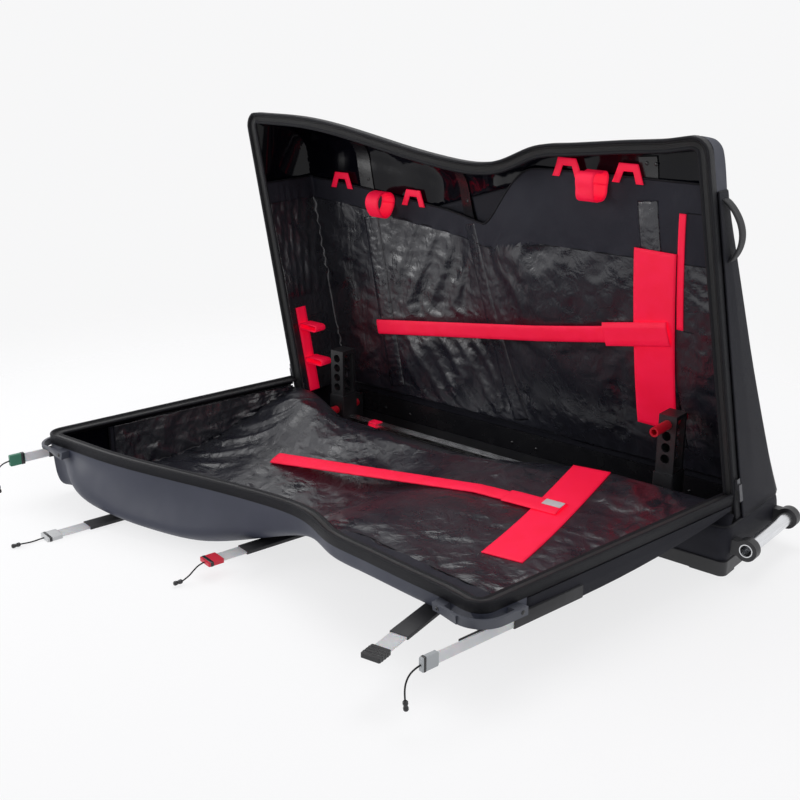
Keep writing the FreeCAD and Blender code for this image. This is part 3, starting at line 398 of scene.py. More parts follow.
def coated_nylon(name, colour, sheen, crease):
    finish = Finish(name, colour, 0.30, Specular_IOR_Level=0.75)
    where = finish.place()
    fold = finish.noise(finish.place(stretch=(1.0, 1.0, 0.6), turn=(0.3, 0.5, 0.2)), 34.0, 5.0, 0.60, 0.7)
    creases = finish.cells(finish.place(stretch=(1.0, 1.0, 0.7), turn=(0.2, 0.3, 0.5)), 46.0)
    fine = finish.noise(finish.place(stretch=(1.0, 1.0, 0.55), turn=(0.0, 0.5, 0.3)), 120.0, 4.0, 0.6, 0.6)
    finish.tint(finish.noise(where, 6.0, 3.0), sheen)
    finish.roughen(finish.noise(where, 11.0, 4.0), 0.20, 0.40)
    finish.bump(fold, crease, 0.012)
    finish.bump(creases, crease * 0.35, 0.004)
    finish.bump(fine, crease * 0.7, 0.0022)
    return finish.material


def woven(name, colour, thread, roughness, weave=0.5):
    finish = Finish(name, colour, roughness, Specular_IOR_Level=0.22)
    across = finish.wave(finish.place("UV"), THREADS, "X")
    along = finish.wave(finish.place("UV"), THREADS, "Y")
    cloth = finish.mix(across, along, "MAXIMUM")
    finish.tint(finish.mix(cloth, finish.noise(finish.place(), 18.0, 4.0)), thread)
    finish.bump(finish.noise(finish.place(), 30.0, 4.0, 0.6), 0.28, 0.004)
    finish.bump(cloth, weave, 0.0004)
    return finish.material


def webbing(name, colour, rib, roughness, painted_glow=0.0):
    finish = Finish(name, colour, roughness, Sheen_Weight=0.35, Sheen_Roughness=0.5, Emission_Strength=painted_glow)
    # Emission lets the tape glow by itself, with no lamp: painted light that brightens its colour.
    finish.shader.inputs["Emission Color"].default_value = (*colour, 1.0)
    finish.shader.inputs["Sheen Tint"].default_value = (*rib, 1.0)
    across = finish.wave(finish.place("UV"), TAPE_RIBS, "X")
    along = finish.wave(finish.place("UV"), TAPE_RIBS * 1.6, "Y")
    tape = finish.mix(across, along, "ADD")
    finish.tint(finish.noise(finish.place(), 30.0, 4.0), rib)
    finish.bump(finish.noise(finish.place(), 60.0, 3.0), 0.12, 0.003)
    finish.bump(tape, 0.3, 0.0004)
    return finish.material


def zip_coils():
    finish = Finish("zip_coils", (0.009, 0.009, 0.010), 0.38)
    teeth = finish.wave(finish.place("UV"), 260.0, "Y")
    finish.tint(teeth, (0.020, 0.020, 0.022))
    finish.bump(teeth, 0.8, 0.0012)
    return finish.material


liner_nylon = coated_nylon("liner_nylon", (0.0095, 0.0100, 0.0165), (0.0160, 0.0168, 0.0250), 0.30)
plain_cloth = woven("plain_liner_cloth", (0.0170, 0.0175, 0.0270), (0.0270, 0.0275, 0.0390), 0.58)
outer_cloth = woven("outer_cloth", (0.0070, 0.0072, 0.0125), (0.0125, 0.0128, 0.0195), 0.62, 0.6)
binding = woven("binding_tape", (0.0040, 0.0041, 0.0068), (0.0078, 0.0080, 0.0120), 0.48, 0.8)
# The red webbing glows a little with no lamp: painted light that makes the red brighter.
red_webbing = webbing("red_webbing", (0.90, 0.0015, 0.042), (1.00, 0.006, 0.068), 0.62, 0.34)
pale_webbing = webbing("pale_webbing", (0.55, 0.53, 0.55), (0.70, 0.68, 0.70), 0.70)
black_webbing = webbing("black_webbing", (0.010, 0.010, 0.012), (0.022, 0.022, 0.025), 0.66)
zip_teeth = zip_coils()
cord_braid = woven("cord_braid", (0.013, 0.013, 0.014), (0.024, 0.024, 0.025), 0.60, 0.8)
print("cloth finishes:", len(bpy.data.materials))

# %% [markdown]
# ## Frame pieces that keep their shape
# The rigid pieces come from the frame as they are, so they only need a finish. One table says which finish
# each of them has.

# %% Finish the rigid pieces
KEPT = {
    "rear_shell": shell_plastic, "lid_shell": shell_plastic, "lid_corner_handles": grip_plastic,
    "rear_battens": satin_plastic, "base_floor_pan": black_plastic, "corner_skids": black_plastic,
    "wheel_housings": black_plastic, "wheel_axles": steel, "wheel_near": rubber, "wheel_far": rubber,
    "stiffener_strip": satin_plastic, "rail": aluminium_x, "rail_feet": black_plastic,
    "front_post_block": black_plastic, "front_post_ladder": black_plastic, "front_axle_sleeve": red_plastic,
    "rear_post_block": black_plastic, "rear_post_ladder": black_plastic, "rear_axle_sleeve": red_plastic,
    "grab_bar": aluminium_y, "grab_bar_brackets": black_plastic,
    "zip_slider_left": dark_metal, "zip_slider_right": dark_metal,
}
for colour in CLIP_COLOURS:
    KEPT["batten_" + colour] = milky
    KEPT["clip_" + colour] = clip_finish[colour]
for name, finish in KEPT.items():
    mesh = nodes[name].data
    mesh.materials.clear()
    mesh.materials.append(finish)
print("finished", len(KEPT), "rigid pieces")

# %% [markdown]
# ## The two halves as surfaces
# Cloth follows the inside and the outside of each half, so both halves get one helper. A place on a half is
# an x along the hinge, a rise from the hinge and a depth from the mouth. A ray goes sideways to the two
# ends, and straight outwards between them, and lands on the skin of the frame. Cloth is then a grid whose
# points are laid on those landings, lifted by a small distance. A tree of the frame's faces finds each
# landing fast.

# %% Measures of the halves
HINGE_HEIGHT = 0.160
HINGE_X = (-0.605, 0.597)
TOP_LEFT = (-0.742, 0.652)
TOP_RIGHT = (0.480, 0.675)
DIP = (-0.030, 0.585)
SHOULDER = (0.140, 0.637)
MOUTH_DEPTH = 0.024
END_REACH = 0.115
END_SHARE = 0.17
END_FACING = 0.6
END_COLUMNS = 0.14
CORNER_HALVINGS = 12
RISE_STEP = 0.004


def between(a, b, share):
    return a + (b - a) * share


def smooth(value):
    share = min(1.0, max(0.0, value))
    return share * share * (3.0 - 2.0 * share)


def after(value, start, reach):
    """Nothing up to a start, and one at a reach past it."""
    return smooth((value - start) / reach)


def before(value, end, reach):
    """Nothing from an end on, and one at a reach before it."""
    return smooth((end - value) / reach)


def tree_of(*names):
    """Faces of some nodes of the frame, ready for rays."""
    form = bmesh.new()
    for name in names:
        form.from_mesh(nodes[name].data)
    tree = BVHTree.FromBMesh(form)
    form.free()
    return tree


print("mouth:", HINGE_X, TOP_LEFT, TOP_RIGHT)

# %% [markdown]
# ### Rays onto the skin
# A class keeps what one half needs: its body, the direction up from its hinge, the direction out of its
# mouth and the faces of its skin. The corner between an end and the outer face is found by halving, so that
# every row of a sheet turns at the corner in the same column. The corners found are kept, because each is
# asked for many times.

# %% Halves and rays
class Half:
    """One half of the case, its skin and the way its places lie in space."""

    def __init__(self, body, prefix, along, outwards):
        self.body = body
        self.along = along
        self.outwards = outwards
        self.skin = tree_of(prefix + "_shell", prefix + "_panel", prefix + "_gussets")
        self.kept = {}

    def place(self, x, rise, depth):
        return Vector((x, 0.0, HINGE_HEIGHT)) + self.along * rise + self.outwards * depth

    def edges(self, rise):
        left = between(HINGE_X[0], TOP_LEFT[0], rise / TOP_LEFT[1])
        return left, between(HINGE_X[1], TOP_RIGHT[0], rise / TOP_RIGHT[1])

    def rise_of(self, place):
        return (place - Vector((0.0, 0.0, HINGE_HEIGHT))).dot(self.along)

    def ray(self, rise, share):
        """Start and way of the ray for one share of the line from the left mouth to the right mouth."""
        left, right = self.edges(rise)
        ends = (left + END_REACH, right - END_REACH)
        if share < END_SHARE:
            turn = math.pi / 2 * share / END_SHARE
            way = Vector((-math.cos(turn), 0.0, 0.0)) + self.outwards * math.sin(turn)
            return self.place(ends[0], rise, MOUTH_DEPTH), way
        if share > 1.0 - END_SHARE:
            turn = math.pi / 2 * (1.0 - share) / END_SHARE
            way = Vector((math.cos(turn), 0.0, 0.0)) + self.outwards * math.sin(turn)
            return self.place(ends[1], rise, MOUTH_DEPTH), way
        x = between(*ends, (share - END_SHARE) / (1.0 - 2 * END_SHARE))
        return self.place(x, rise, MOUTH_DEPTH), self.outwards.copy()

    def landing(self, rise, share, outer):
        """Where a ray meets the skin, and the way the skin faces there."""
        start, way = self.ray(rise, share)
        if outer:
            return self.skin.ray_cast(start + way * FAR, -way)[:2]
        return self.skin.ray_cast(start, way)[:2]

    def corner(self, rise, side, outer):
        """Share at which one end of the half turns into its outer face."""
        near, far = (0.0, END_SHARE) if side == "left" else (1.0, 1.0 - END_SHARE)
        for _ in range(CORNER_HALVINGS):
            middle = (near + far) / 2
            normal = self.landing(rise, middle, outer)[1]
            if normal is None or abs(normal.x) > END_FACING:
                near = middle
            else:
                far = middle
        return (near + far) / 2

    def on_skin(self, rise, column, outer, lift):
        """Place on the skin for one column, with a fixed share of the columns on each end."""
        key = (round(rise, 4), outer)
        if key not in self.kept:
            self.kept[key] = [self.corner(rise, side, outer) for side in ("left", "right")]
        left, right = self.kept[key]
        if column < END_COLUMNS:
            share = left * column / END_COLUMNS
        elif column > 1.0 - END_COLUMNS:
            share = 1.0 - (1.0 - right) * (1.0 - column) / END_COLUMNS
        else:
            share = between(left, right, (column - END_COLUMNS) / (1.0 - 2 * END_COLUMNS))
        place, normal = self.landing(rise, share, outer)
        while place is None:
            rise -= RISE_STEP
            place, normal = self.landing(rise, share, outer)
        return place + normal * lift

    def inside(self, rise, column, lift):
        return self.on_skin(rise, column, False, lift)

    def outside(self, rise, column, lift):
        return self.on_skin(rise, column, True, lift)

    def under(self, x, rise, lift):
        """Inside of the skin straight behind one place of the mouth."""
        place = self.skin.ray_cast(self.place(x, rise, 0.0), self.outwards)[0]
        return place - self.outwards * lift


rear = Half("rear_half", "rear", UP, Vector((0.0, 1.0, 0.0)))
lid = Half("lid", "lid", Vector((0.0, -1.0, 0.0)), Vector((0.0, 0.0, -1.0)))
print("halves:", rear.inside(0.3, 0.5, 0.0), lid.inside(0.3, 0.5, 0.0))

# %% [markdown]
# ## Pieces from grids
# Every strip and sheet starts as a grid. A function gives the place of each grid point from its two shares,
# and the UV map is measured along the finished sheet, in metres, so that weaves keep their scale. Most
# sheets are sewn down at their edges, so one helper tells how free a place is. Another gives smooth random
# waves.

# %% Sheets from a grid
WELD = 1e-6


def calm_edges(u, v, slopes):
    """Nothing on the edges of a sheet, and one a little way in from them."""
    return min(1.0, slopes[1] * min(v, 1.0 - v)) * min(1.0, slopes[0] * min(u, 1.0 - u))


def ripple(a, b, grain, seed=0.0):
    """Smooth random waves over the two measures of a sheet."""
    return noise.noise(Vector((a * grain[0], b * grain[1], seed)))


def weld(form):
    """Merges the corners that lie on each other."""
    bmesh.ops.remove_doubles(form, verts=form.verts[:], dist=WELD)


def sheet_form(columns, rows, place):
    """Grid whose points are placed by a function of two shares, with UVs in metres."""
    form = bmesh.new()
    bmesh.ops.create_grid(form, x_segments=columns, y_segments=rows, size=0.5)
    shares = {v: (v.co.x + 0.5, v.co.y + 0.5) for v in form.verts}
    for vert, (u, v) in shares.items():
        vert.co = place(u, v)
    length = sum((place((i + 1) / columns, 0.5) - place(i / columns, 0.5)).length for i in range(columns))
    height = sum((place(0.5, (i + 1) / rows) - place(0.5, i / rows)).length for i in range(rows))
    layer = form.loops.layers.uv.new("metres")
    for face in form.faces:
        for loop in face.loops:
            u, v = shares[loop.vert]
            loop[layer].uv = (u * length, v * height)
    form.normal_update()
    return form


print("sheet helpers ready")

# %% [markdown]
# ### Finished pieces
# A form turns into a piece when it has a finish and rides on a body, and the pieces of the frame that it
# stands for are hidden. The thickness of the cloth comes last, as a modifier: the grid stays light, and both
# faces follow it.

# %% Finished pieces
def finished(name, form, finish, body, slot, *replaced):
    """Form as a piece with a finish, on a body, standing for some nodes of the frame."""
    mesh = bpy.data.meshes.new(name)
    form.to_mesh(mesh)
    form.free()
    mesh.shade_smooth()
    mesh.materials.append(finish)
    piece = bpy.data.objects.new(name, mesh)
    bpy.context.scene.collection.objects.link(piece)
    if body:
        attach(piece, body)
    if replaced:
        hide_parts(*replaced)
    return piece


def thicken(piece, thickness, offset=0.0, levels=0):
    """Live modifiers: one level of subdivision if asked, then the thickness of the cloth."""
    if levels:
        soft = piece.modifiers.new("soften", "SUBSURF")
        soft.levels = levels
        soft.render_levels = levels
    wall = piece.modifiers.new("thickness", "SOLIDIFY")
    wall.thickness = thickness
    wall.offset = offset
    wall.use_even_offset = False
    return piece


print("finishing helpers ready")

# %% [markdown]
# ### Lines and ropes
# Piping and seams are thin ropes. A curve with a round bevel is the quick way to sweep one along a line of
# points. It is turned into a mesh at once, so that several ropes can be joined into one piece.

# %% Lines and ropes
ROPE_ROUNDS = 2


def along_line(points, share):
    """Place at one share of the length of a line of points."""
    steps = [(b - a).length for a, b in zip(points, points[1:])]
    want = share * sum(steps)
    for a, b, step in zip(points, points[1:], steps):
        if want <= step:
            return a.lerp(b, want / step if step else 0.0)
        want -= step
    return points[-1].copy()


def rope_form(points, radius):
    """Closed round tube along a line of points."""
    curve = bpy.data.curves.new("rope", "CURVE")
    curve.dimensions = "3D"
    curve.bevel_depth = radius
    curve.bevel_resolution = ROPE_ROUNDS
    curve.use_fill_caps = True
    spline = curve.splines.new("POLY")
    spline.points.add(len(points) - 1)
    for point, place in zip(spline.points, points):
        point.co = (*place, 1.0)
    holder = bpy.data.objects.new("rope", curve)
    mesh = bpy.data.meshes.new_from_object(holder)
    form = bmesh.new()
    form.from_mesh(mesh)
    bpy.data.objects.remove(holder)
    bpy.data.meshes.remove(mesh)
    bpy.data.curves.remove(curve)
    return form


def rounded(form, edges, radius):
    """Rounds off some edges of a form."""
    bmesh.ops.bevel(form, geom=edges, offset=radius, segments=2, profile=0.5, affect="EDGES", material=-1)


def joined(forms):
    """Several forms as one."""
    whole = forms[0]
    for form in forms[1:]:
        mesh = bpy.data.meshes.new("joined")
        form.to_mesh(mesh)
        form.free()
        whole.from_mesh(mesh)
        bpy.data.meshes.remove(mesh)
    return whole


print("line helpers ready")

# %% [markdown]
# ## Outer cloth
# Below the hard shell each half is covered in a tough matt cloth: the back and the two ends of the rear
# half, and the underside and ends of the lid. Each is one sheet from mouth to mouth. It swells a little
# between its seams, because there is foam behind it, and it sags in long shallow waves. Along the hinge the
# cloth of the lid hangs free, so it drops there. A cloth simulation is another way to get the swell. Here
# it is laid in directly, which gives full control of how far the cloth stands out.

# %% Outer cloth of both halves
SEAM_RISE = {"left": 0.430, "right": 0.570}
SEAM_X = (-0.330, 0.140)
SKIN_COLUMNS = 120
SKIN_ROWS = 44
SKIN_SWELL = 0.0035
SKIN_SAG = 0.0022
SKIN_LIFT = 0.0006
SKIN_TUCK = 0.0004
SKIN_EDGES = (14.0, 6.0)
SKIN_WAVES = 5.0
SKIN_THICK = 0.003
REAR_SKIN_LOW = -0.0565
LID_SKIN_LOW = 0.004
SEAM_ROUNDS = 4
SAG_X = (-0.54, 0.34)
SAG_FADE = (0.14, 0.40)
SAG_RISE = 0.075
SAG_DROP = 0.056
SAG_POWER = 1.5


def shell_seam(x):
    share = (x - SEAM_X[0]) / (SEAM_X[1] - SEAM_X[0])
    return between(SEAM_RISE["left"], SEAM_RISE["right"], min(1.0, max(0.0, share)))


def edge_rises(columns, first, better):
    """Rise of a sheet's top edge for each column, found by bettering a first guess a few times."""
    rises = []
    for i in range(columns + 1):
        rise = first
        for _ in range(SEAM_ROUNDS):
            rise = better(rise, i / columns)
        rises.append(rise)
    return rises


def seam_rises(half):
    """Rise of the shell's lower edge for each column of the outer cloth."""
    def better(rise, share):
        return shell_seam(half.outside(rise, share, 0.0).x)
    return edge_rises(SKIN_COLUMNS, SEAM_RISE["left"], better)


def sag_share(x):
    """One in the middle of the hinge, fading to nothing towards its two ends."""
    return after(x, SAG_X[0], SAG_FADE[0]) * before(x, SAG_X[1], SAG_FADE[1])


def hinge_sag(half, x, rise):
    """How far the cloth of the lid hangs down where it is sewn to the base."""
    if half is rear:
        return Vector((0.0, 0.0, 0.0))
    return half.outwards * (SAG_DROP * sag_share(x) * max(0.0, 1.0 - rise / SAG_RISE) ** SAG_POWER)


def outer_cloth_form(half, low):
    """Cloth from the hinge up to the shell, flat at its edges and swollen between them."""
    tops = seam_rises(half)

    def place(u, v):
        top = tops[round(u * SKIN_COLUMNS)] - SKIN_TUCK
        rise = between(low, top, v)
        edge = calm_edges(u, v, SKIN_EDGES)
        spot = half.outside(rise, u, 0.0)
        sag = noise.noise(spot * SKIN_WAVES)
        hang = hinge_sag(half, spot.x, rise)
        return half.outside(rise, u, SKIN_LIFT + edge * (SKIN_SWELL + SKIN_SAG * sag)) + hang

    return sheet_form(SKIN_COLUMNS, SKIN_ROWS, place)


rear_skin = finished("rear_outer_cloth", outer_cloth_form(rear, REAR_SKIN_LOW), outer_cloth, rear.body,
                     "black_fabric", "rear_panel", "rear_gussets")
lid_skin = finished("lid_outer_cloth", outer_cloth_form(lid, LID_SKIN_LOW), outer_cloth, lid.body,
                    "black_fabric", "lid_panel", "lid_gussets")
for skin in (rear_skin, lid_skin):
    thicken(skin, SKIN_THICK, offset=-1.0)
print("outer cloth:", [len(skin.data.polygons) for skin in (rear_skin, lid_skin)])

# %% [markdown]
# ## Where the webbing is sewn
# Straps, patches and channels are sewn through the liner, so it lies flat under them. Their places come
# first, as pairs of an x and a rise, and the liner asks how near the next strip is.

# %% Places of the webbing
REAR_PATCH = ((0.3495, 0.040), (0.362, 0.438))
REAR_PATCH_WIDTH = 0.092
LID_PATCH = ((0.288, 0.012), (0.343, 0.419))
LID_PATCH_WIDTH = 0.084
POCKET_ZIP = ((0.413, 0.278), (0.418, 0.518))
POCKET_ZIP_WIDTH = 0.014
REAR_STRAP = ((-0.468, 0.114), (0.388, 0.266))
LID_STRAP = ((-0.434, 0.234), (0.322, 0.196))
STRAP_WIDTH = 0.038
CHANNEL_WIDTH = 0.045
CHANNELS = (
    ((-0.493, 0.394), (-0.409, -0.036)),
    ((-0.164, 0.417), (-0.023, -0.040)),
    ((0.341, 0.535), (0.395, 0.000)),
)
SEWN_MARGIN = 0.010
SEWN_REACH = 1.5
FLAT_END = (-0.06, 0.19)
FLAT_REACH = 0.05
SEWN = {
    "rear_half": [(*REAR_PATCH, REAR_PATCH_WIDTH), (*POCKET_ZIP, POCKET_ZIP_WIDTH),
                  (*REAR_STRAP, STRAP_WIDTH), *((*ends, CHANNEL_WIDTH) for ends in CHANNELS)],
    "lid": [(*LID_PATCH, LID_PATCH_WIDTH), (*LID_STRAP, STRAP_WIDTH)],
}


def sewn_down(body, x, rise):
    """One under a strip of webbing, nothing away from it."""
    low, high = FLAT_END
    flat = body == "rear_half" and low < rise < high and x < rear.edges(rise)[0] + FLAT_REACH
    most = 1.0 if flat else 0.0
    for start, end, width in SEWN[body]:
        a, b, spot = Vector(start), Vector(end), Vector((x, rise))
        share = min(1.0, max(0.0, (spot - a).dot(b - a) / (b - a).length_squared))
        gap = (spot - a.lerp(b, share)).length - width / 2
        most = max(most, smooth(SEWN_REACH - gap / SEWN_MARGIN))
    return most


print("strips of webbing:", sum(len(strips) for strips in SEWN.values()))

# %% [markdown]
# ## Liners
# Both halves are lined with shiny nylon. It is cut a little too large, so it buckles between its seams, and
# the buckles catch the light. The sheet starts as a smooth grid on the inside of the skin. Drag folds are
# laid in where a seam pulls, then a short cloth simulation lets the spare cloth buckle while the seams stay
# pinned. The band along its top edge is a plain matt cloth.

# %% Liner helpers
LINER_LIFT = 0.0066
LINER_DIP = (-0.105, 0.075)
LINER_DIP_DROP = 0.046
LINER_ROOM = 0.034
LINER_COLUMNS = 150
LINER_ROWS = 72
LINER_EDGES = (16.0, 9.0)
LINER_JITTER = 0.0006
JITTER_GRAIN = 70.0
LINER_THICK = 0.0012
BAND_PINNED = 0.9
SEWN_PINNED = 0.5


def outline_top(x):
    """Top edge of the case, from its dip to the right."""
    if x < SHOULDER[0]:
        return between(DIP[1], SHOULDER[1], smooth((x - DIP[0]) / (SHOULDER[0] - DIP[0])))
    return between(SHOULDER[1], TOP_RIGHT[1], (x - SHOULDER[0]) / (TOP_RIGHT[0] - SHOULDER[0]))


def liner_top(x, left, right):
    """Top edge of a liner: level at both sides, with a dip under the dip of the rim."""
    low = left - LINER_DIP_DROP
    if x < LINER_DIP[0]:
        return between(left, low, smooth((x - TOP_LEFT[0]) / (LINER_DIP[0] - TOP_LEFT[0])))
    top = between(low, right, smooth((x - LINER_DIP[0]) / (LINER_DIP[1] - LINER_DIP[0])))
    return min(top, outline_top(x) - LINER_ROOM)


def ridge(value, spacing, sharpness=2.0):
    """Rounded folds with flat valleys between them."""
    return (0.5 + 0.5 * math.cos(2.0 * math.pi * value / spacing)) ** sharpness


def liner(name, half, low, tops, band, fold, replaced):
    """Nylon sheet from mouth to mouth; band gives the height of the plain cloth along its top."""
    def better(rise, share):
        return liner_top(half.inside(rise, share, 0.0).x, *tops)

    rises = edge_rises(LINER_COLUMNS, tops[0] - LINER_DIP_DROP, better)

    def place(u, v):
        rise = between(low, rises[round(u * LINER_COLUMNS)], v)
        spot = half.inside(rise, u, 0.0)
        calm = calm_edges(u, v, LINER_EDGES)
        calm *= 1.0 - sewn_down(half.body, spot.x, rise)
        jitter = LINER_JITTER * noise.noise(spot * JITTER_GRAIN)
        hang = hinge_sag(half, spot.x, rise)
        return half.inside(rise, u, LINER_LIFT + calm * (fold(spot.x, rise, u) + jitter)) + hang

    form = sheet_form(LINER_COLUMNS, LINER_ROWS, place)
    pinned = []
    form.verts.index_update()
    for face in form.faces:
        middle = face.calc_center_median()
        rise = half.rise_of(middle)
        if rise > liner_top(middle.x, *tops) - band(middle.x):
            face.material_index = 1
    for vert in form.verts:
        rise = half.rise_of(vert.co)
        in_band = rise > liner_top(vert.co.x, *tops) - band(vert.co.x) * BAND_PINNED
        if vert.is_boundary or in_band or sewn_down(half.body, vert.co.x, rise) > SEWN_PINNED:
            pinned.append(vert.index)
    area = sum(face.calc_area() for face in form.faces)
    piece = finished(name, form, liner_nylon, half.body, "liner_nylon", replaced)
    piece.data.materials.append(plain_cloth)
    top_line = [place(i / LINER_COLUMNS, 1.0) for i in range(LINER_COLUMNS + 1)]
    return piece, pinned, area, top_line


print("liner helpers ready")

# %% [markdown]
# ### Buckling
# Blender's cloth solver makes folds that are hard to draw by hand. The cloth grows a little, its seams stay
# pinned, and without gravity it has nowhere to go but up and down. No point may move further than a few
# millimetres, so the liner stays where its folds were laid.

# %% Buckling of a liner
CRUMPLE_FRAMES = 16
CRUMPLE_LIMIT = 0.0045
CRUMPLE_GROWTH = -0.014
CRUMPLE_CLOTH = {
    "quality": 4,
    "mass": 0.12,
    "tension_stiffness": 12.0,
    "compression_stiffness": 12.0,
    "bending_stiffness": 0.02,
    "shrink_min": CRUMPLE_GROWTH,
    "shrink_max": CRUMPLE_GROWTH,
}
LEAST_MOVE = 1e-9


def crumple(piece, pinned):
    """Lets cloth that is too large for its seams buckle, and keeps the result in the mesh."""
    seams = piece.vertex_groups.new(name="seams")
    seams.add(pinned, 1.0, "REPLACE")
    cloth = piece.modifiers.new("crumple", "CLOTH")
    cloth.settings.vertex_group_mass = "seams"
    for setting, value in CRUMPLE_CLOTH.items():
        setattr(cloth.settings, setting, value)
    cloth.settings.effector_weights.gravity = 0.0
    cloth.collision_settings.use_collision = False
    scene = bpy.context.scene
    for number in range(1, CRUMPLE_FRAMES + 1):
        scene.frame_set(number)
    graph = bpy.context.evaluated_depsgraph_get()
    buckled = [v.co.copy() for v in piece.evaluated_get(graph).data.vertices]
    for vertex, place in zip(piece.data.vertices, buckled):
        way = place - vertex.co
        vertex.co += way * min(1.0, CRUMPLE_LIMIT / max(way.length, LEAST_MOVE))
    piece.modifiers.remove(cloth)
    piece.vertex_groups.clear()
    scene.frame_set(1)


print("buckling:", CRUMPLE_FRAMES, "frames")

# %% [markdown]
# ### Rear liner
# The strap pulls the rear liner into long drag folds between the first two channels. Above them other folds
# sweep the other way, and the left end is gathered upright. Each kind of fold has a height, a spacing and a
# zone in which it fades in and out.

# %% Rear liner
REAR_LINER_TOPS = (0.476, 0.577)
REAR_LINER_LOW = -0.0555
REAR_BAND = 0.052
REAR_SEAM_RISE = 0.418
REAR_SEAM_REACH = 0.20
DRAG_HEIGHT = 0.0045
DRAG_LEAN = (0.80, 0.62)
DRAG_SPACING = 0.047
DRAG_ZONE = {"high": (0.20, 0.10), "left": (-0.40, 0.05), "right": (-0.03, 0.07)}
SWEEP_HEIGHT = 0.0030
SWEEP_LEAN = (0.92, -0.40)
SWEEP_SPACING = 0.060
SWEEP_ZONE = {"low": (0.18, 0.08), "left": (-0.45, 0.05), "right": (-0.13, 0.05)}
UPRIGHT_HEIGHT = 0.0040
UPRIGHT_SPACING = 0.022
UPRIGHT_SWAY = (0.02, 9.0)
UPRIGHT_ZONE = (0.16, 0.03)
REAR_SOFT_HEIGHT = 0.0016
REAR_SOFT_GRAIN = (16.0, 13.0)
REAR_SOFT_SEED = 0.3


def rear_band(x):
    """Height of the plain band: even on the left, and down to a level seam on the right."""
    if x < LINER_DIP[0]:
        return REAR_BAND
    low = REAR_LINER_TOPS[0] - LINER_DIP_DROP - REAR_BAND
    seam = between(low, REAR_SEAM_RISE, after(x, LINER_DIP[0], REAR_SEAM_REACH))
    return liner_top(x, *REAR_LINER_TOPS) - seam


def rear_fold(x, rise, u):
    """Long drag folds between the first two channels, and soft upright ones on the left end."""
    low = before(rise, *DRAG_ZONE["high"]) * after(x, *DRAG_ZONE["left"]) * before(x, *DRAG_ZONE["right"])
    drag = DRAG_HEIGHT * low * ridge(x * DRAG_LEAN[0] + rise * DRAG_LEAN[1], DRAG_SPACING)
    high = after(rise, *SWEEP_ZONE["low"]) * after(x, *SWEEP_ZONE["left"]) * before(x, *SWEEP_ZONE["right"])
    sweep = SWEEP_HEIGHT * high * ridge(x * SWEEP_LEAN[0] + rise * SWEEP_LEAN[1], SWEEP_SPACING)
    sway = UPRIGHT_SWAY[0] * math.sin(UPRIGHT_SWAY[1] * rise)
    upright = UPRIGHT_HEIGHT * before(u, *UPRIGHT_ZONE) * ridge(u + sway, UPRIGHT_SPACING)
    soft = REAR_SOFT_HEIGHT * ripple(x, rise, REAR_SOFT_GRAIN, REAR_SOFT_SEED)
    return drag + sweep + upright + soft


rear_cloth, rear_pins, rear_area, rear_top = liner("rear_liner_cloth", rear, REAR_LINER_LOW, REAR_LINER_TOPS,
                                                   rear_band, rear_fold, "rear_liner")
crumple(rear_cloth, rear_pins)
thicken(rear_cloth, LINER_THICK, levels=1)
print("rear liner:", round(rear_area, 3), "m2")

# %% [markdown]
# ### Lid liner
# The lid liner is gathered in two rows on its left end, with drag folds beside them. Spare cloth lies in a
# heap in both corners at the hinge. The area of each liner is printed.

# %% Lid liner
LID_LINER_TOPS = (0.500, 0.640)
LID_LINER_LOW = 0.004
LID_BAND = (0.012, 0.085)
LID_BAND_TURN = (-0.05, 0.16)
GATHER_ZONE = (0.15, 0.02)
GATHER_ROWS = (0.050, 6.0)
GATHER_HEIGHT = 0.0030
GATHER_TUCKS = (0.016, 1.0)
LID_DRAG_HEIGHT = 0.0042
LID_DRAG_LEAN = (0.70, 0.9)
LID_DRAG_SPACING = 0.052
LID_DRAG_ZONE = {"right": (0.26, 0.06), "left": (0.09, 0.03)}
HEAP_TOP = (0.16, 0.10)
LEFT_HEAP_ZONE = (-0.36, 0.12)
LEFT_HEAP_HEIGHT = 0.010
LEFT_HEAP_GRAIN = (24.0, 18.0)
LEFT_HEAP_SEED = 1.7
RIGHT_HEAP_ZONE = (0.28, 0.10)
RIGHT_HEAP_HEIGHT = 0.006
RIGHT_HEAP_LEVEL = 0.6
RIGHT_HEAP_GRAIN = (26.0, 22.0)
RIGHT_HEAP_SEED = 4.1
LID_SOFT_HEIGHT = 0.0022
LID_SOFT_GRAIN = (11.0, 12.0)
LID_SOFT_SEED = 2.3


def lid_band(x):
    """Height of the plain band: a hem on the left, and wider on the right."""
    return between(*LID_BAND, after(x, *LID_BAND_TURN))


def lid_fold(x, rise, u):
    """Two rows of gathers on the left end, drag folds beside them, and a heap in each hinge corner."""
    row = ridge(u, *GATHER_ROWS) * before(u, *GATHER_ZONE)
    gathers = GATHER_HEIGHT * row * ridge(rise, *GATHER_TUCKS)
    beside = before(u, *LID_DRAG_ZONE["right"]) * after(u, *LID_DRAG_ZONE["left"])
    drag = LID_DRAG_HEIGHT * beside * ridge(rise * LID_DRAG_LEAN[0] + u * LID_DRAG_LEAN[1], LID_DRAG_SPACING)
    low = before(rise, *HEAP_TOP)
    left = low * before(x, *LEFT_HEAP_ZONE)
    wave = ripple(x, rise, LEFT_HEAP_GRAIN, LEFT_HEAP_SEED)
    heap = left * (LEFT_HEAP_HEIGHT + LEFT_HEAP_HEIGHT * wave)
    right = low * after(x, *RIGHT_HEAP_ZONE)
    wave = ripple(x, rise, RIGHT_HEAP_GRAIN, RIGHT_HEAP_SEED)
    heap += right * RIGHT_HEAP_HEIGHT * (RIGHT_HEAP_LEVEL + wave)
    soft = LID_SOFT_HEIGHT * ripple(x, rise, LID_SOFT_GRAIN, LID_SOFT_SEED)
    return gathers + drag + heap + soft


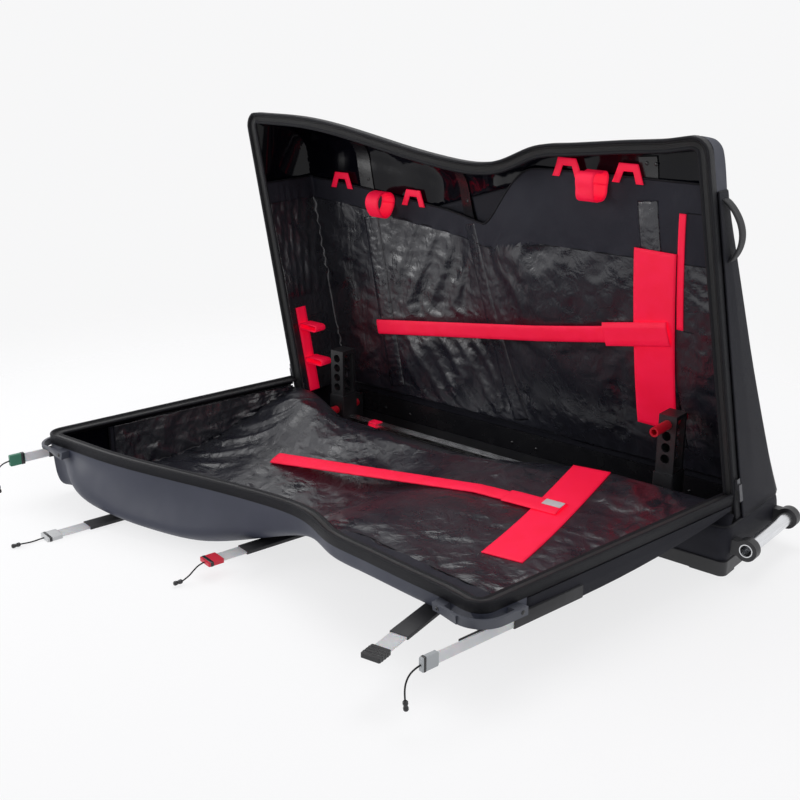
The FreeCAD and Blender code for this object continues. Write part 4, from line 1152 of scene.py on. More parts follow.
lid_cloth, lid_pins, lid_area, lid_top = liner("lid_liner_cloth", lid, LID_LINER_LOW, LID_LINER_TOPS,
                                               lid_band, lid_fold, "lid_liner")
crumple(lid_cloth, lid_pins)
thicken(lid_cloth, LINER_THICK, levels=1)
print("lid liner:", round(lid_area, 3), "m2")

# %% [markdown]
# ## Rims
# A zip runs round the mouth of each half. Its tape is bound to the shell with a thick piping, and a second
# piping edges the flange on the inside, so the rim reads as two dark ridges with a groove between them. The
# rim is one profile swept along the outline. The outline is found with rays towards the middle of the mouth.
# The rear rim also has a straight tail at each end, which goes down to the base.

# %% Rims of both halves
RIM_RAYS = 420
RIM_STEPS = 300
RIM_MIDDLE = (-0.07, 0.30)
RIM_DEPTH = 0.011
RIM_FOOT = 0.0015
RIM_PROFILE = (
    (0.0000, 0.0217), (0.0000, 0.0060), (0.0004, 0.0030), (-0.0004, 0.0012), (-0.0022, 0.0005),
    (-0.0042, 0.0008), (-0.0060, 0.0022), (-0.0068, 0.0044), (-0.0085, 0.0056), (-0.0110, 0.0058),
    (-0.0190, 0.0064), (-0.0212, 0.0048), (-0.0234, 0.0042), (-0.0256, 0.0052), (-0.0266, 0.0076),
    (-0.0258, 0.0098), (-0.0238, 0.0108), (-0.0190, 0.0100), (-0.0110, 0.0104), (-0.0084, 0.0120),
    (-0.0078, 0.0217), (0.0000, 0.0217),
)
TEETH_ROWS = (7, 10)
REAR_TAIL = 0.0545
TAIL_AIM = 8


def rim_path(half, node, tail):
    """Outline of the mouth from the left hinge over the top to the right hinge, with two tails if asked."""
    tree = tree_of(node)
    middle = half.place(*RIM_MIDDLE, RIM_DEPTH)
    feet = [half.place(x, RIM_FOOT, RIM_DEPTH) - middle for x in HINGE_X]
    first, last = [math.atan2(foot.dot(half.along), foot.x) for foot in feet]
    places = []
    for i in range(RIM_RAYS + 1):
        angle = between(first + 2 * math.pi, last, i / RIM_RAYS)
        way = Vector((math.cos(angle), 0.0, 0.0)) + half.along * math.sin(angle)
        hit = tree.ray_cast(middle + way * FAR, -way)[0]
        if hit is not None:
            places.append(hit)
    if tail > 0.0:
        places.insert(0, places[0] + (places[0] - places[TAIL_AIM]).normalized() * tail)
        places.append(places[-1] + (places[-1] - places[-TAIL_AIM]).normalized() * tail)
    return [along_line(places, i / RIM_STEPS) for i in range(RIM_STEPS + 1)]


def swept_form(path, profile, outwards, deep):
    """Closed profile of outward and depth offsets, carried along a path."""
    steps = len(path) - 1
    rows = len(profile) - 1
    sides = [outwards(path[i], path[min(i + 1, steps)] - path[max(i - 1, 0)]) for i in range(steps + 1)]

    def place(u, v):
        step = round(u * steps)
        offset, depth = profile[round(v * rows)]
        return path[step] + sides[step] * offset + deep * depth

    return sheet_form(steps, rows, place)


def mark_rows(form, rows, marked):
    """Second material on the faces between two rows of a grid."""
    layer = form.loops.layers.uv.active
    top = max(loop[layer].uv.y for face in form.faces for loop in face.loops)
    for face in form.faces:
        row = round(min(loop[layer].uv.y for loop in face.loops) / top * rows)
        face.material_index = 1 if marked[0] <= row < marked[1] else 0


def rim_piece(name, half, node, tail):
    """Binding round one mouth, with the teeth of the zip on a few of its rows."""
    path = rim_path(half, node, tail)
    middle = half.place(*RIM_MIDDLE, RIM_DEPTH)

    def outwards(place, tangent):
        out = tangent.cross(half.outwards).normalized()
        return out if out.dot(place - middle) > 0 else -out

    profile = [(offset, depth - RIM_DEPTH) for offset, depth in RIM_PROFILE]
    form = swept_form(path, profile, outwards, half.outwards)
    mark_rows(form, len(profile) - 1, TEETH_ROWS)
    weld(form)
    bmesh.ops.holes_fill(form, edges=[edge for edge in form.edges if edge.is_boundary], sides=0)
    bmesh.ops.recalc_face_normals(form, faces=form.faces[:])
    piece = finished(name, form, binding, half.body, "zip_tape", node)
    piece.data.materials.append(zip_teeth)
    return piece


rims = [rim_piece("rear_rim_binding", rear, "rear_rim", REAR_TAIL),
        rim_piece("lid_rim_binding", lid, "lid_rim", 0.0)]
print("rims:", [len(rim.data.polygons) for rim in rims])

# %% [markdown]
# ## Shell linings
# The inside of each shell is bare glossy plastic. The frame has the shell as one thick wall, so the lining
# is a copy of the faces that look into the case, moved a hair inwards so that it covers them.

# %% Glossy linings
LINING_LIFT = 0.0004
LINING_VIEW = ((-0.60, 0.38), 0.40, -0.05)


def lining(name, half, node):
    """Copy of the faces of a shell that look at the open side of its half."""
    (low, high), top, depth = LINING_VIEW
    form = bmesh.new()
    form.from_mesh(nodes[node].data)
    weld(form)
    outer = []
    for face in form.faces:
        middle = face.calc_center_median()
        view = half.place(min(high, max(low, middle.x)), min(top, half.rise_of(middle)), depth)
        if face.normal.dot(view - middle) <= 0.0:
            outer.append(face)
    bmesh.ops.delete(form, geom=outer, context="FACES")
    form.normal_update()
    for vert in form.verts:
        vert.co += vert.normal * LINING_LIFT
    return finished(name, form, shell_lining, half.body, "black_plastic")


linings = [lining("rear_shell_lining", rear, "rear_shell"), lining("lid_shell_lining", lid, "lid_shell")]
print("linings:", [len(piece.data.polygons) for piece in linings])

# %% [markdown]
# ## Webbing
# Webbing is a flat woven tape, two millimetres thick. A strip that is sewn to the liner is a grid laid on
# the skin behind it. A loop is a ribbon: a line of points, carried sideways by the width of the tape.

# %% Webbing helpers
TAPE = 0.0020
RIBBON_ROWS = 4
SIDE = Vector((1.0, 0.0, 0.0))
DEEP = Vector((0.0, 1.0, 0.0))


def heading(start, end):
    """Direction from one place of a half to another."""
    return Vector((end[0] - start[0], end[1] - start[1])).normalized()


def strip_form(half, start, end, width, grid, lift):
    """Strip between two places of a half, lifted off the skin behind it by a function of its two shares."""
    way = heading(start, end)

    def place(u, v):
        aside = (v - 0.5) * width
        x = between(start[0], end[0], u) - way.y * aside
        return half.under(x, between(start[1], end[1], u) + way.x * aside, lift(u, v))

    return sheet_form(*grid, place)


def ribbon_form(points, sideways, columns):
    """Tape that follows a line of points, with its width along one direction."""
    return sheet_form(columns, RIBBON_ROWS, lambda u, v: along_line(points, u) + sideways * (v - 0.5))


def arc(centre, radius, first, last, a, b, steps=16):
    """Points on an arc about a centre, in the plane of two directions; angles in degrees."""
    turns = [math.radians(between(first, last, i / steps)) for i in range(steps + 1)]
    return [centre + a * (radius * math.cos(turn)) + b * (radius * math.sin(turn)) for turn in turns]


def taped(name, form, body, replaced=(), finish=red_webbing, slot="red_webbing", thickness=TAPE):
    """Finished piece of tape, red webbing if nothing else is asked."""
    return thicken(finished(name, form, finish, body, slot, *replaced), thickness)


print("webbing helpers ready")

# %% [markdown]
# ### Sewn to the liner
# Three narrow tubes of nylon hold the battens. Two wide patches of red tape carry the wheel straps, and a
# red zip closes the side pocket. All are strips on the skin, and they differ in how far they stand off it:
# a lift is a function of the two shares of the strip.

# %% Batten channels, patches and pocket zip
ON_LINER = 0.0072
CHANNEL_GRID = (110, 10)
CHANNEL_CROWN = 0.0022
CHANNEL_EDGE = 0.16
CHANNEL_CLOTH = 0.0010
CRINKLE_HEIGHT = 0.0006
CRINKLE_TURNS = 150.0
CRINKLE_DRIFT = 5.0
CRINKLE_GRAIN = (30.0, 3.0)
REAR_PATCH_LIFT = 0.0112
REAR_PATCH_SOFT = 0.0012
REAR_PATCH_GRID = (60, 16)
LID_PATCH_LIFT = 0.0086
LID_PATCH_SOFT = 0.0014
LID_PATCH_GRID = (80, 16)
QUILT_EDGES = (40.0, 12.0)
QUILT_GRAIN = (9.0, 3.0)
QUILT_SEEDS = 900.0
QUILT_LEVEL = 0.7
QUILT_WAVE = 0.5
ZIP_GRID = (40, 6)
ZIP_LIFT = 0.001


def channel_lift(u, v):
    """A flat tube: stitched down along both edges, a little raised and crinkled between them."""
    body = smooth((0.5 - abs(v - 0.5)) / CHANNEL_EDGE)
    crinkle = CRINKLE_HEIGHT * math.sin(u * CRINKLE_TURNS + CRINKLE_DRIFT * ripple(u, v, CRINKLE_GRAIN))
    return ON_LINER + body * (CHANNEL_CROWN + crinkle)


def quilted(lift, height):
    """Sewn flat along the edges, and soft between them."""
    def over(u, v):
        wave = ripple(u, v, QUILT_GRAIN, lift * QUILT_SEEDS)
        return lift + calm_edges(u, v, QUILT_EDGES) * height * (QUILT_LEVEL + QUILT_WAVE * wave)
    return over


def zip_lift(u, v):
    return ON_LINER + ZIP_LIFT


channel_forms = [strip_form(rear, *ends, CHANNEL_WIDTH, CHANNEL_GRID, channel_lift) for ends in CHANNELS]
taped("rear_channel_tubes", joined(channel_forms), "rear_half", ["rear_batten_channels"], liner_nylon,
      "liner_nylon", CHANNEL_CLOTH)
rear_soft = quilted(REAR_PATCH_LIFT, REAR_PATCH_SOFT)
taped("rear_patch_webbing", strip_form(rear, *REAR_PATCH, REAR_PATCH_WIDTH, REAR_PATCH_GRID, rear_soft),
      "rear_half", ["rear_strap_patch"])
lid_soft = quilted(LID_PATCH_LIFT, LID_PATCH_SOFT)
taped("lid_patch_webbing", strip_form(lid, *LID_PATCH, LID_PATCH_WIDTH, LID_PATCH_GRID, lid_soft),
      "lid", ["lid_strap_patch"])
taped("pocket_zip_tape", strip_form(rear, *POCKET_ZIP, POCKET_ZIP_WIDTH, ZIP_GRID, zip_lift),
      "rear_half", ["pocket_zip"])
print("channels, patches and pocket zip")

# %% [markdown]
# ### Wheel straps
# A padded strap runs across each half and holds a wheel. The frame has it as a flat bar. The strap is a
# sheet laid on that bar, with a soft crown across its width and thick tape for its body.

# %% Wheel straps
STRAP_CROWN = 0.0024
STRAP_SHOULDER = 4
STRAP_THICK = 0.003
STRAP_INSET = 0.002
STRAP_GRID = (140, 12)
STRAP_RIPPLE = 0.0006
STRAP_GRAIN = (40.0, 2.0)


def strap_form(half, node, start, end, width):
    """Padded strap on the line that the frame gives it, with a soft crown across its width."""
    tree = tree_of(node)
    way = heading(start, end)

    def place(u, v):
        share = between(STRAP_INSET, 1.0 - STRAP_INSET, u)
        aside = (v - 0.5) * (width - STRAP_INSET)
        x = between(start[0], end[0], share) - way.y * aside
        rise = between(start[1], end[1], share) + way.x * aside
        hit = tree.ray_cast(half.place(x, rise, -FAR), half.outwards)[0]
        crown = STRAP_CROWN * (1.0 - (2.0 * v - 1.0) ** STRAP_SHOULDER)
        return hit - half.outwards * (crown + STRAP_RIPPLE * ripple(u, v, STRAP_GRAIN))

    return sheet_form(*STRAP_GRID, place)


taped("rear_strap_webbing", strap_form(rear, "rear_wheel_strap", *REAR_STRAP, STRAP_WIDTH), "rear_half",
      ["rear_wheel_strap"], thickness=STRAP_THICK)
taped("lid_strap_webbing", strap_form(lid, "lid_wheel_strap", *LID_STRAP, STRAP_WIDTH), "lid",
      ["lid_wheel_strap"], thickness=STRAP_THICK)
print("wheel straps")

# %% [markdown]
# ### Folded strap ends
# Where a strap meets its patch, the tape is folded back over itself, so it is wider and thicker there. The
# fold is a second sheet over the strap that falls away past its edges. The one on the lid has a small pale
# patch.

# %% Folded ends of the wheel straps
END_ROOM = 0.0042
END_FALL = 0.007
END_DROP = 0.003
END_GRID = (40, 12)
REAR_END = ((0.243, 0.2403), (0.392, 0.2667), 0.052)
LID_END = ((0.205, 0.2018), (0.330, 0.1955), 0.050)
PALE_PATCH = ((0.286, 0.1910), (0.328, 0.1890), 0.022)
PALE_PATCH_THICK = 0.0008


def strap_end_form(half, node, start, end, width, room):
    """Short sleeve round the end of a strap, as wide as a fold of the same tape."""
    tree = tree_of(node)
    way = heading(start, end)
    edge = STRAP_WIDTH / 2 - STRAP_INSET

    def place(u, v):
        aside = (v - 0.5) * width
        x = between(start[0], end[0], u)
        rise = between(start[1], end[1], u)
        held = min(edge, max(-edge, aside))
        found = None
        back = 0.0
        while found is None:
            start_of_ray = half.place(x - back - way.y * held, rise + way.x * held, -FAR)
            found = tree.ray_cast(start_of_ray, half.outwards)[0]
            back += RISE_STEP
        spot = half.place(x - way.y * aside, rise + way.x * aside, 0.0)
        depth = (found - spot).dot(half.outwards)
        drop = END_DROP * after(abs(aside), edge, END_FALL)
        return spot + half.outwards * (depth - room + drop)

    return sheet_form(*END_GRID, place)


taped("rear_strap_end", strap_end_form(rear, "rear_wheel_strap", *REAR_END, END_ROOM), "rear_half")
taped("lid_strap_end", strap_end_form(lid, "lid_wheel_strap", *LID_END, END_ROOM), "lid")
taped("lid_strap_patch_pale", strap_end_form(lid, "lid_wheel_strap", *PALE_PATCH, END_ROOM + TAPE), "lid",
      finish=pale_webbing, thickness=PALE_PATCH_THICK)
print("folded strap ends")

# %% [markdown]
# ### Tabs and rings
# Four small arches of tape are sewn to the top of the rear liner, and two loops hang over its edge. An arch
# is a grid between an outer and an inner line. A loop is a grid bent into a ring, and the second one is
# squarer.

# %% Tabs and rings
TAB_X = (-0.584, -0.357, 0.155, 0.295)
TAB_OUTER = ((-0.035, -0.012), (-0.021, 0.027), (0.021, 0.027), (0.035, -0.012))
TAB_INNER = ((-0.019, -0.012), (-0.011, 0.011), (0.011, 0.011), (0.019, -0.012))
TAB_LIFT = 0.0105
TAB_GRID = (36, 4)
RING_RADIUS = 0.031
RING_WIDTH = 0.040
RING_SPLIT = -0.1
RING_SQUARE = (0.0, 0.10)
RING_CORNERS = 4.0
RING_DROOP = (0.002, 3.0)
RING_GRID = (48, 6)


def tab_form(x):
    """Flat arch of tape, standing on the edge of the liner."""
    top = liner_top(x, *REAR_LINER_TOPS)
    sides = len(TAB_OUTER) - 1

    def place(u, v):
        side = min(sides - 1, int(u * sides))
        outer, inner = [Vector(line[side]).lerp(Vector(line[side + 1]), u * sides - side)
                        for line in (TAB_OUTER, TAB_INNER)]
        across, rise = outer.lerp(inner, v)
        return rear.under(x + across, top + rise, TAB_LIFT)

    return sheet_form(*TAB_GRID, place)


def ring_form(middle, square):
    """Loop of tape with its width along the case; a square loop has its corners pushed out."""
    def place(u, v):
        turn = 2.0 * math.pi * u
        reach = RING_RADIUS * (1.0 + square * math.cos(RING_CORNERS * turn + math.pi))
        droop = RING_DROOP[0] * math.sin(RING_DROOP[1] * turn)
        way = DEEP * math.cos(turn) + UP * math.sin(turn)
        return middle + way * (reach + droop) + SIDE * (RING_WIDTH * (v - 0.5))
    return sheet_form(*RING_GRID, place)


ring_corners = [vertex.co for vertex in nodes["strap_rings"].data.vertices]
ring_forms = []
for left, square in zip((True, False), RING_SQUARE):
    places = [corner for corner in ring_corners if (corner.x < RING_SPLIT) == left]
    low = Vector([min(place[i] for place in places) for i in range(3)])
    high = Vector([max(place[i] for place in places) for i in range(3)])
    ring_forms.append(ring_form((low + high) / 2, square))
taped("liner_tab_webbing", joined([tab_form(x) for x in TAB_X]), "rear_half", ["liner_tabs"])
taped("ring_webbing", joined(ring_forms), "rear_half", ["strap_rings"])
print("tabs and rings")

# %% [markdown]
# ### Frame strap and rail ties
# A strap with two loops climbs the left end and holds the frame of the bike. Two ties go round the rail.
# All are ribbons along lines of points, and arcs make the turns of the loops.

# %% Frame strap and rail ties
FRAME_STRAP_Y = 0.061
FRAME_STRAP_WIDTH = 0.034
FRAME_STRAP_RISES = (-0.050, 0.163)
FRAME_STRAP_LIFT = 0.002
FRAME_STRAP_POINTS = 30
FRAME_STRAP_STEPS = 40
LOOP_RISES = (0.118, 0.032)
LOOP_LENGTH = 0.058
LOOP_HEIGHT = 0.015
LOOP_WIDTH = 0.034
LOOP_LIFT = 0.004
LOOP_STEPS = 48
TIE_X = (-0.388, 0.312)
TIE_WIDTH = 0.025
TIE_THICK = 0.0016
TIE_STEPS = 60
TIE_LINE = ((-0.036, 0.0450), (0.061, 0.0500), (0.064, 0.0615), (0.086, 0.0615), (0.089, 0.0580),
            (0.089, 0.0420), (0.086, 0.0385), (0.064, 0.0385), (0.061, 0.0420), (0.060, 0.0480))


def left_wall(rise, lift):
    """Place on the inside of the left end, off the skin by a lift."""
    start = Vector((0.0, FRAME_STRAP_Y, HINGE_HEIGHT + rise))
    return rear.skin.ray_cast(start, -SIDE)[0] + SIDE * lift


def loop_line(rise):
    """Flattened loop that stands out from the left end."""
    wall = left_wall(rise, ON_LINER + LOOP_LIFT)
    radius = LOOP_HEIGHT / 2
    near = wall + SIDE * radius
    far = wall + SIDE * (LOOP_LENGTH - radius)
    return arc(near, radius, 90, 270, SIDE, UP) + arc(far, radius, -90, 90, SIDE, UP) + [near + UP * radius]


wall_rises = [between(*FRAME_STRAP_RISES, i / FRAME_STRAP_POINTS) for i in range(FRAME_STRAP_POINTS + 1)]
wall_line = [left_wall(rise, ON_LINER + FRAME_STRAP_LIFT) for rise in wall_rises]
strap_forms = [ribbon_form(wall_line, DEEP * FRAME_STRAP_WIDTH, FRAME_STRAP_STEPS)]
strap_forms += [ribbon_form(loop_line(rise), DEEP * LOOP_WIDTH, LOOP_STEPS) for rise in LOOP_RISES]
taped("frame_strap_webbing", joined(strap_forms), "rear_half", ["frame_strap"])
tie_lines = [[Vector((x, y, z)) for y, z in TIE_LINE] for x in TIE_X]
tie_forms = [ribbon_form(line, SIDE * TIE_WIDTH, TIE_STEPS) for line in tie_lines]
taped("rail_tie_webbing", joined(tie_forms), "rear_half", ["rail_ties"], thickness=TIE_THICK)
print("frame strap and rail ties")

# %% [markdown]
# ## Base
# The base is a tub with padded cloth walls, piped along the top and the bottom. The walls are one sheet
# round a rounded outline, swollen between its two seams. The wheels show through two openings in its left
# end, where the faces of the sheet are taken out.

# %% Base padding
BASE_X = (-0.593, 0.607)
BASE_Y = (-0.040, 0.200)
BASE_Z = (0.030, 0.103)
BASE_CORNER = 0.016
BASE_COLUMNS = 360
BASE_ROWS = 18
BASE_CORNER_STEPS = 10
BASE_SWELL = 0.0060
BASE_SHOULDER = 3
BASE_RIPPLE = 0.0016
BASE_RIPPLE_SLOPE = 4.0
BASE_GRAIN = 12.0
BASE_THICK = 0.003
WHEEL_GAPS = ((-0.031, 0.015), (0.145, 0.191))
HOUSING_OVERLAP = 0.006
WHEEL_GAP_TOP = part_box("wheel_housings")[1][2] - HOUSING_OVERLAP
PIPING = 0.0026
FRONT_DROP = 0.025
FRONT_ZONE = (0.06, 0.08)


def base_line():
    """Rounded outline of the base, anticlockwise from the middle of its rear wall."""
    left, right = BASE_X[0] + BASE_CORNER, BASE_X[1] - BASE_CORNER
    front, back = BASE_Y[0] + BASE_CORNER, BASE_Y[1] - BASE_CORNER
    points = [Vector((0.0, BASE_Y[1], 0.0))]
    for x, y, start in ((left, back, 90), (left, front, 180), (right, front, 270), (right, back, 360)):
        points += arc(Vector((x, y, 0.0)), BASE_CORNER, start, start + 90, SIDE, DEEP,
                      BASE_CORNER_STEPS)
    return points + points[:1]


base_points = [along_line(base_line(), i / BASE_COLUMNS) for i in range(BASE_COLUMNS + 1)]


def base_top(point):
    """Top of the base: the cloth of the lid presses its front wall down."""
    return BASE_Z[1] - FRONT_DROP * sag_share(point.x) * before(point.y, *FRONT_ZONE)


def base_place(u, v):
    """Place on the padded wall, which swells most at half its height."""
    step = round(u * BASE_COLUMNS) % BASE_COLUMNS
    tangent = base_points[(step + 1) % BASE_COLUMNS] - base_points[step - 1]
    spot = base_points[step] + UP * between(BASE_Z[0], base_top(base_points[step]), v)
    swell = BASE_SWELL * (1.0 - abs(2.0 * v - 1.0) ** BASE_SHOULDER)
    swell += BASE_RIPPLE * min(v, 1.0 - v) * BASE_RIPPLE_SLOPE * noise.noise(spot * BASE_GRAIN)
    return spot + tangent.cross(UP).normalized() * swell


base_form = sheet_form(BASE_COLUMNS, BASE_ROWS, base_place)
hidden = []
for face in base_form.faces:
    middle = face.calc_center_median()
    in_gap = any(low < middle.y < high for low, high in WHEEL_GAPS)
    if middle.x < BASE_X[0] + BASE_CORNER and in_gap and middle.z < WHEEL_GAP_TOP:
        hidden.append(face)
bmesh.ops.delete(base_form, geom=hidden, context="FACES")
weld(base_form)
base_pad = finished("base_wall_cloth", base_form, outer_cloth, "rear_half", "black_fabric", "base_side_walls",
                    "base_end_walls")
thicken(base_pad, BASE_THICK, offset=-1.0)
piping_forms = [rope_form([point + UP * BASE_Z[0] for point in base_points], PIPING),
                rope_form([point + UP * base_top(point) for point in base_points], PIPING)]
finished("base_piping", joined(piping_forms), binding, "rear_half", "black_fabric")
print("base padding:", len(base_pad.data.polygons))

# %% [markdown]
# ## Hinge flap
# A slack strip of cloth joins the base to the lid. Its foot lies on the base, and its other edge is sewn
# to the cloth of the lid, a little way up from the hinge. Between the two it hangs slack. It rides on no
# body.

# %% Hinge flap
FLAP_X = (-0.592, 0.606)
FLAP_GRID = (150, 10)
FLAP_THICK = 0.0012
FLAP_FOOT = Vector((0.0, -0.0392, 0.1035))
FLAP_SEAT = 0.012
FLAP_SEAT_X = (-0.598, 0.584)
FLAP_GAP = 0.0018
FLAP_SLACK = 0.010
FLAP_RIPPLE = 0.003
FLAP_GRAIN = (14.0, 0.0)
FLAP_SEED = 5.0


def flap_seat(x):
    """Where the flap is sewn to the cloth of the lid."""
    spot = min(FLAP_SEAT_X[1], max(FLAP_SEAT_X[0], x))
    hit = lid.skin.ray_cast(lid.place(spot, FLAP_SEAT, FAR), -lid.outwards)[0]
    return Vector((0.0, hit.y, hit.z)) + hinge_sag(lid, spot, FLAP_SEAT) + lid.outwards * FLAP_GAP


def flap_place(u, v):
    """Place between the foot of the flap and its seat, hanging slack in the middle."""
    x = between(*FLAP_X, u)
    foot = FLAP_FOOT - UP * FRONT_DROP * sag_share(x)
    slack = FLAP_SLACK + FLAP_RIPPLE * ripple(x, 0.0, FLAP_GRAIN, FLAP_SEED)
    return foot.lerp(flap_seat(x), v) + SIDE * x - UP * slack * math.sin(math.pi * v)


flap = finished("hinge_flap_cloth", sheet_form(*FLAP_GRID, flap_place), outer_cloth, None, "black_fabric",
                "hinge_flap")
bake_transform(flap)
thicken(flap, FLAP_THICK)
print("hinge flap:", len(flap.data.polygons))

# %% [markdown]
# ## Hems
# The top edge of each liner is bound with a narrow tape, and a seam runs where the plain cloth meets the
# nylon. Both are thin ropes along lines that the liners gave.

# %% Hems and seams
HEM = 0.0026
SEAM = 0.0011


def band_line(half, top_line, band):
    """Places of the seam between the plain band and the nylon."""
    places = []
    for i, top in enumerate(top_line):
        rise = half.rise_of(top) - band(top.x)
        places.append(half.inside(rise, i / LINER_COLUMNS, LINER_LIFT + SEAM))
    return places


for name, half, top_line, band in (("rear", rear, rear_top, rear_band), ("lid", lid, lid_top, lid_band)):
    forms = [rope_form(top_line, HEM), rope_form(band_line(half, top_line, band), SEAM)]
    finished(name + "_liner_hem", joined(forms), binding, half.body, "black_fabric")
print("hems and seams")

# %% [markdown]
# ## Side handle and sleeves
# A loop of black webbing stands out from the right end. Each pull-out batten runs in a sewn sleeve. The
# frame has the sleeves with sharp edges, so a copy of them is cleaned and its edges are rounded off.

# %% Side handle and sleeves
HANDLE_RISES = (0.440, 0.556)
HANDLE_Y = 0.047
HANDLE_STAND = 0.030
HANDLE_WIDTH = 0.024
HANDLE_FOOT = 0.003
HANDLE_BOW = 0.7
HANDLE_THICK = 0.0035
HANDLE_POINTS = 40
HANDLE_STEPS = 48
SLEEVE_ROUND = 0.0007
FLAT_ANGLE = math.radians(1.0)
SHARP_ANGLE = math.radians(30.0)


def handle_place(share):
    """Place on the bow of the handle, from its lower foot to its upper one."""
    rise = between(*HANDLE_RISES, share)
    foot = rear.skin.ray_cast(Vector((FAR, HANDLE_Y, HINGE_HEIGHT + rise)), -SIDE)[0]
    return foot + SIDE * (HANDLE_FOOT + HANDLE_STAND * math.sin(math.pi * share) ** HANDLE_BOW)


handle_line = [handle_place(i / HANDLE_POINTS) for i in range(HANDLE_POINTS + 1)]
taped("side_handle_webbing", ribbon_form(handle_line, DEEP * HANDLE_WIDTH, HANDLE_STEPS), "rear_half",
      ["side_handle"], black_webbing, "black_fabric", HANDLE_THICK)

sleeve_form = bmesh.new()
sleeve_form.from_mesh(nodes["batten_sleeves"].data)
weld(sleeve_form)
bmesh.ops.dissolve_limit(sleeve_form, angle_limit=FLAT_ANGLE, verts=sleeve_form.verts[:],
                         edges=sleeve_form.edges[:])
sharp = [edge for edge in sleeve_form.edges if edge.calc_face_angle(0.0) > SHARP_ANGLE]
rounded(sleeve_form, sharp, SLEEVE_ROUND)
finished("batten_sleeve_cloth", sleeve_form, black_webbing, "lid", "black_fabric", "batten_sleeves")
print("side handle and sleeves")

# %% [markdown]
# ## Pull cords
# Four of the battens end in a cord with a toggle, which hangs from the clip or lies on the floor. A cord is
# a smooth curve that a few points steer, with its route given along the batten and up. The toggle is a
# barrel with a waist, spun from half of its outline.

# %% Toggles
TOGGLE_RADIUS = 0.0045
TOGGLE_LENGTH = 0.018
TOGGLE_SIDES = 20
TOGGLE_LINE = ((0.0, 0.0), (0.72, 0.0), (1.0, 0.10), (1.0, 0.32), (0.80, 0.44), (0.80, 0.56), (1.0, 0.68),
               (1.0, 0.90), (0.72, 1.0), (0.0, 1.0))


def toggle_form(start, way):
    """Barrel with a waist, spun about the end of the cord."""
    form = bmesh.new()
    aside = way.orthogonal().normalized()
    verts = [form.verts.new(start + aside * (TOGGLE_RADIUS * out) + way * (TOGGLE_LENGTH * up))
             for out, up in TOGGLE_LINE]
    edges = [form.edges.new(pair) for pair in zip(verts, verts[1:])]
    bmesh.ops.spin(form, geom=verts + edges, cent=start, axis=way, angle=2.0 * math.pi, steps=TOGGLE_SIDES,
                   use_merge=True)
    weld(form)
    bmesh.ops.recalc_face_normals(form, faces=form.faces[:])
    return form


print("toggle:", TOGGLE_LENGTH, "long")

# %% Pull cords
CORD = 0.003
CLIP_REACH = 0.017
HANGING = ((0, 0), (0.015, -0.002), (0.028, -0.013), (0.033, -0.032), (0.031, -0.050))
LOW = ((0, 0), (0.012, -0.002), (0.024, -0.010), (0.036, -0.020), (0.050, -0.025))
FLAT = ((0, 0), (0.012, -0.0006), (0.025, -0.0016), (0.038, -0.0008), (0.051, 0.0007))
PULLS = {"green": (HANGING, 0.0689), "grey": (HANGING, 0.0689), "red": (LOW, 0.0568), "white": (FLAT, 0.0511)}


def pull_cord(colour, route):
    """Cord from the clip of one batten, with a toggle on its end."""
    body = colour + "_batten"
    low, high = [Vector(corner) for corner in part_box("clip_" + colour)]
    along = axes[body]
    start = (low + high) / 2 + along * CLIP_REACH
    places = [start + along * out + UP * rise for out, rise in route]
    curve = bpy.data.curves.new("pull_cord_" + colour, "CURVE")
    curve.dimensions = "3D"
    curve.bevel_depth = CORD / 2
    curve.bevel_resolution = 3
    curve.use_fill_caps = True
    spline = curve.splines.new("NURBS")
    spline.points.add(len(places) - 1)
    for point, place in zip(spline.points, places):
        point.co = (*place, 1.0)
    spline.order_u = 3
    spline.use_endpoint_u = True
    spline.resolution_u = 12
    curve.materials.append(cord_braid)
    cord = bpy.data.objects.new("pull_cord_" + colour, curve)
    bpy.context.scene.collection.objects.link(cord)
    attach(cord, body)
    way = (places[-1] - places[-2]).normalized() if route is HANGING else along
    toggle = finished("pull_toggle_" + colour, toggle_form(places[-1], way), satin_plastic, body,
                      "black_plastic")
    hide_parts("pull_" + colour)


for colour, (route, length) in PULLS.items():
    pull_cord(colour, route)
print("pull cords:", len(PULLS))

# %% [markdown]
# ## Rivets
# Domed rivets hold the battens, the strip along the base, the left end of the lid and its corner grips. A
# rivet is a sphere, pressed flat and turned to the way the surface faces. The box of the strip gives its
# front. Elsewhere rays find the surface, and where a ray finds no plate or grip there is no rivet.

# %% Rivets
RIVET = 0.0042
RIVET_HEIGHT = 0.45
RIVET_INSET = 3
PLATE_RIVET_X = (-0.010, 0.010)
PLATE_SEARCH = 0.22
STRIP_RIVET_X = (-0.454, -0.372, -0.053, 0.016, 0.345, 0.415)
STRIP_RIVET_Z = 0.052
END_RIVETS = ((0.600, 0.050), (0.520, 0.085))
GRIP_DEPTH = 0.032
GRIP_RIVETS = (
    ((-0.659, FAR), (0.0, -1.0)), ((-FAR, 0.579), (1.0, 0.0)),
    ((0.397, FAR), (0.0, -1.0)), ((FAR, 0.602), (-1.0, 0.0)),
)


def rivet_form(place, normal):
    """Low dome on a surface."""
    form = bmesh.new()
    bmesh.ops.create_uvsphere(form, u_segments=14, v_segments=8, radius=RIVET)
    turn = normal.to_track_quat("Z", "Y").to_matrix().to_4x4()
    flat = Matrix.Diagonal((1.0, 1.0, RIVET_HEIGHT, 1.0))
    bmesh.ops.transform(form, matrix=Matrix.Translation(place) @ turn @ flat, verts=form.verts[:])
    return form


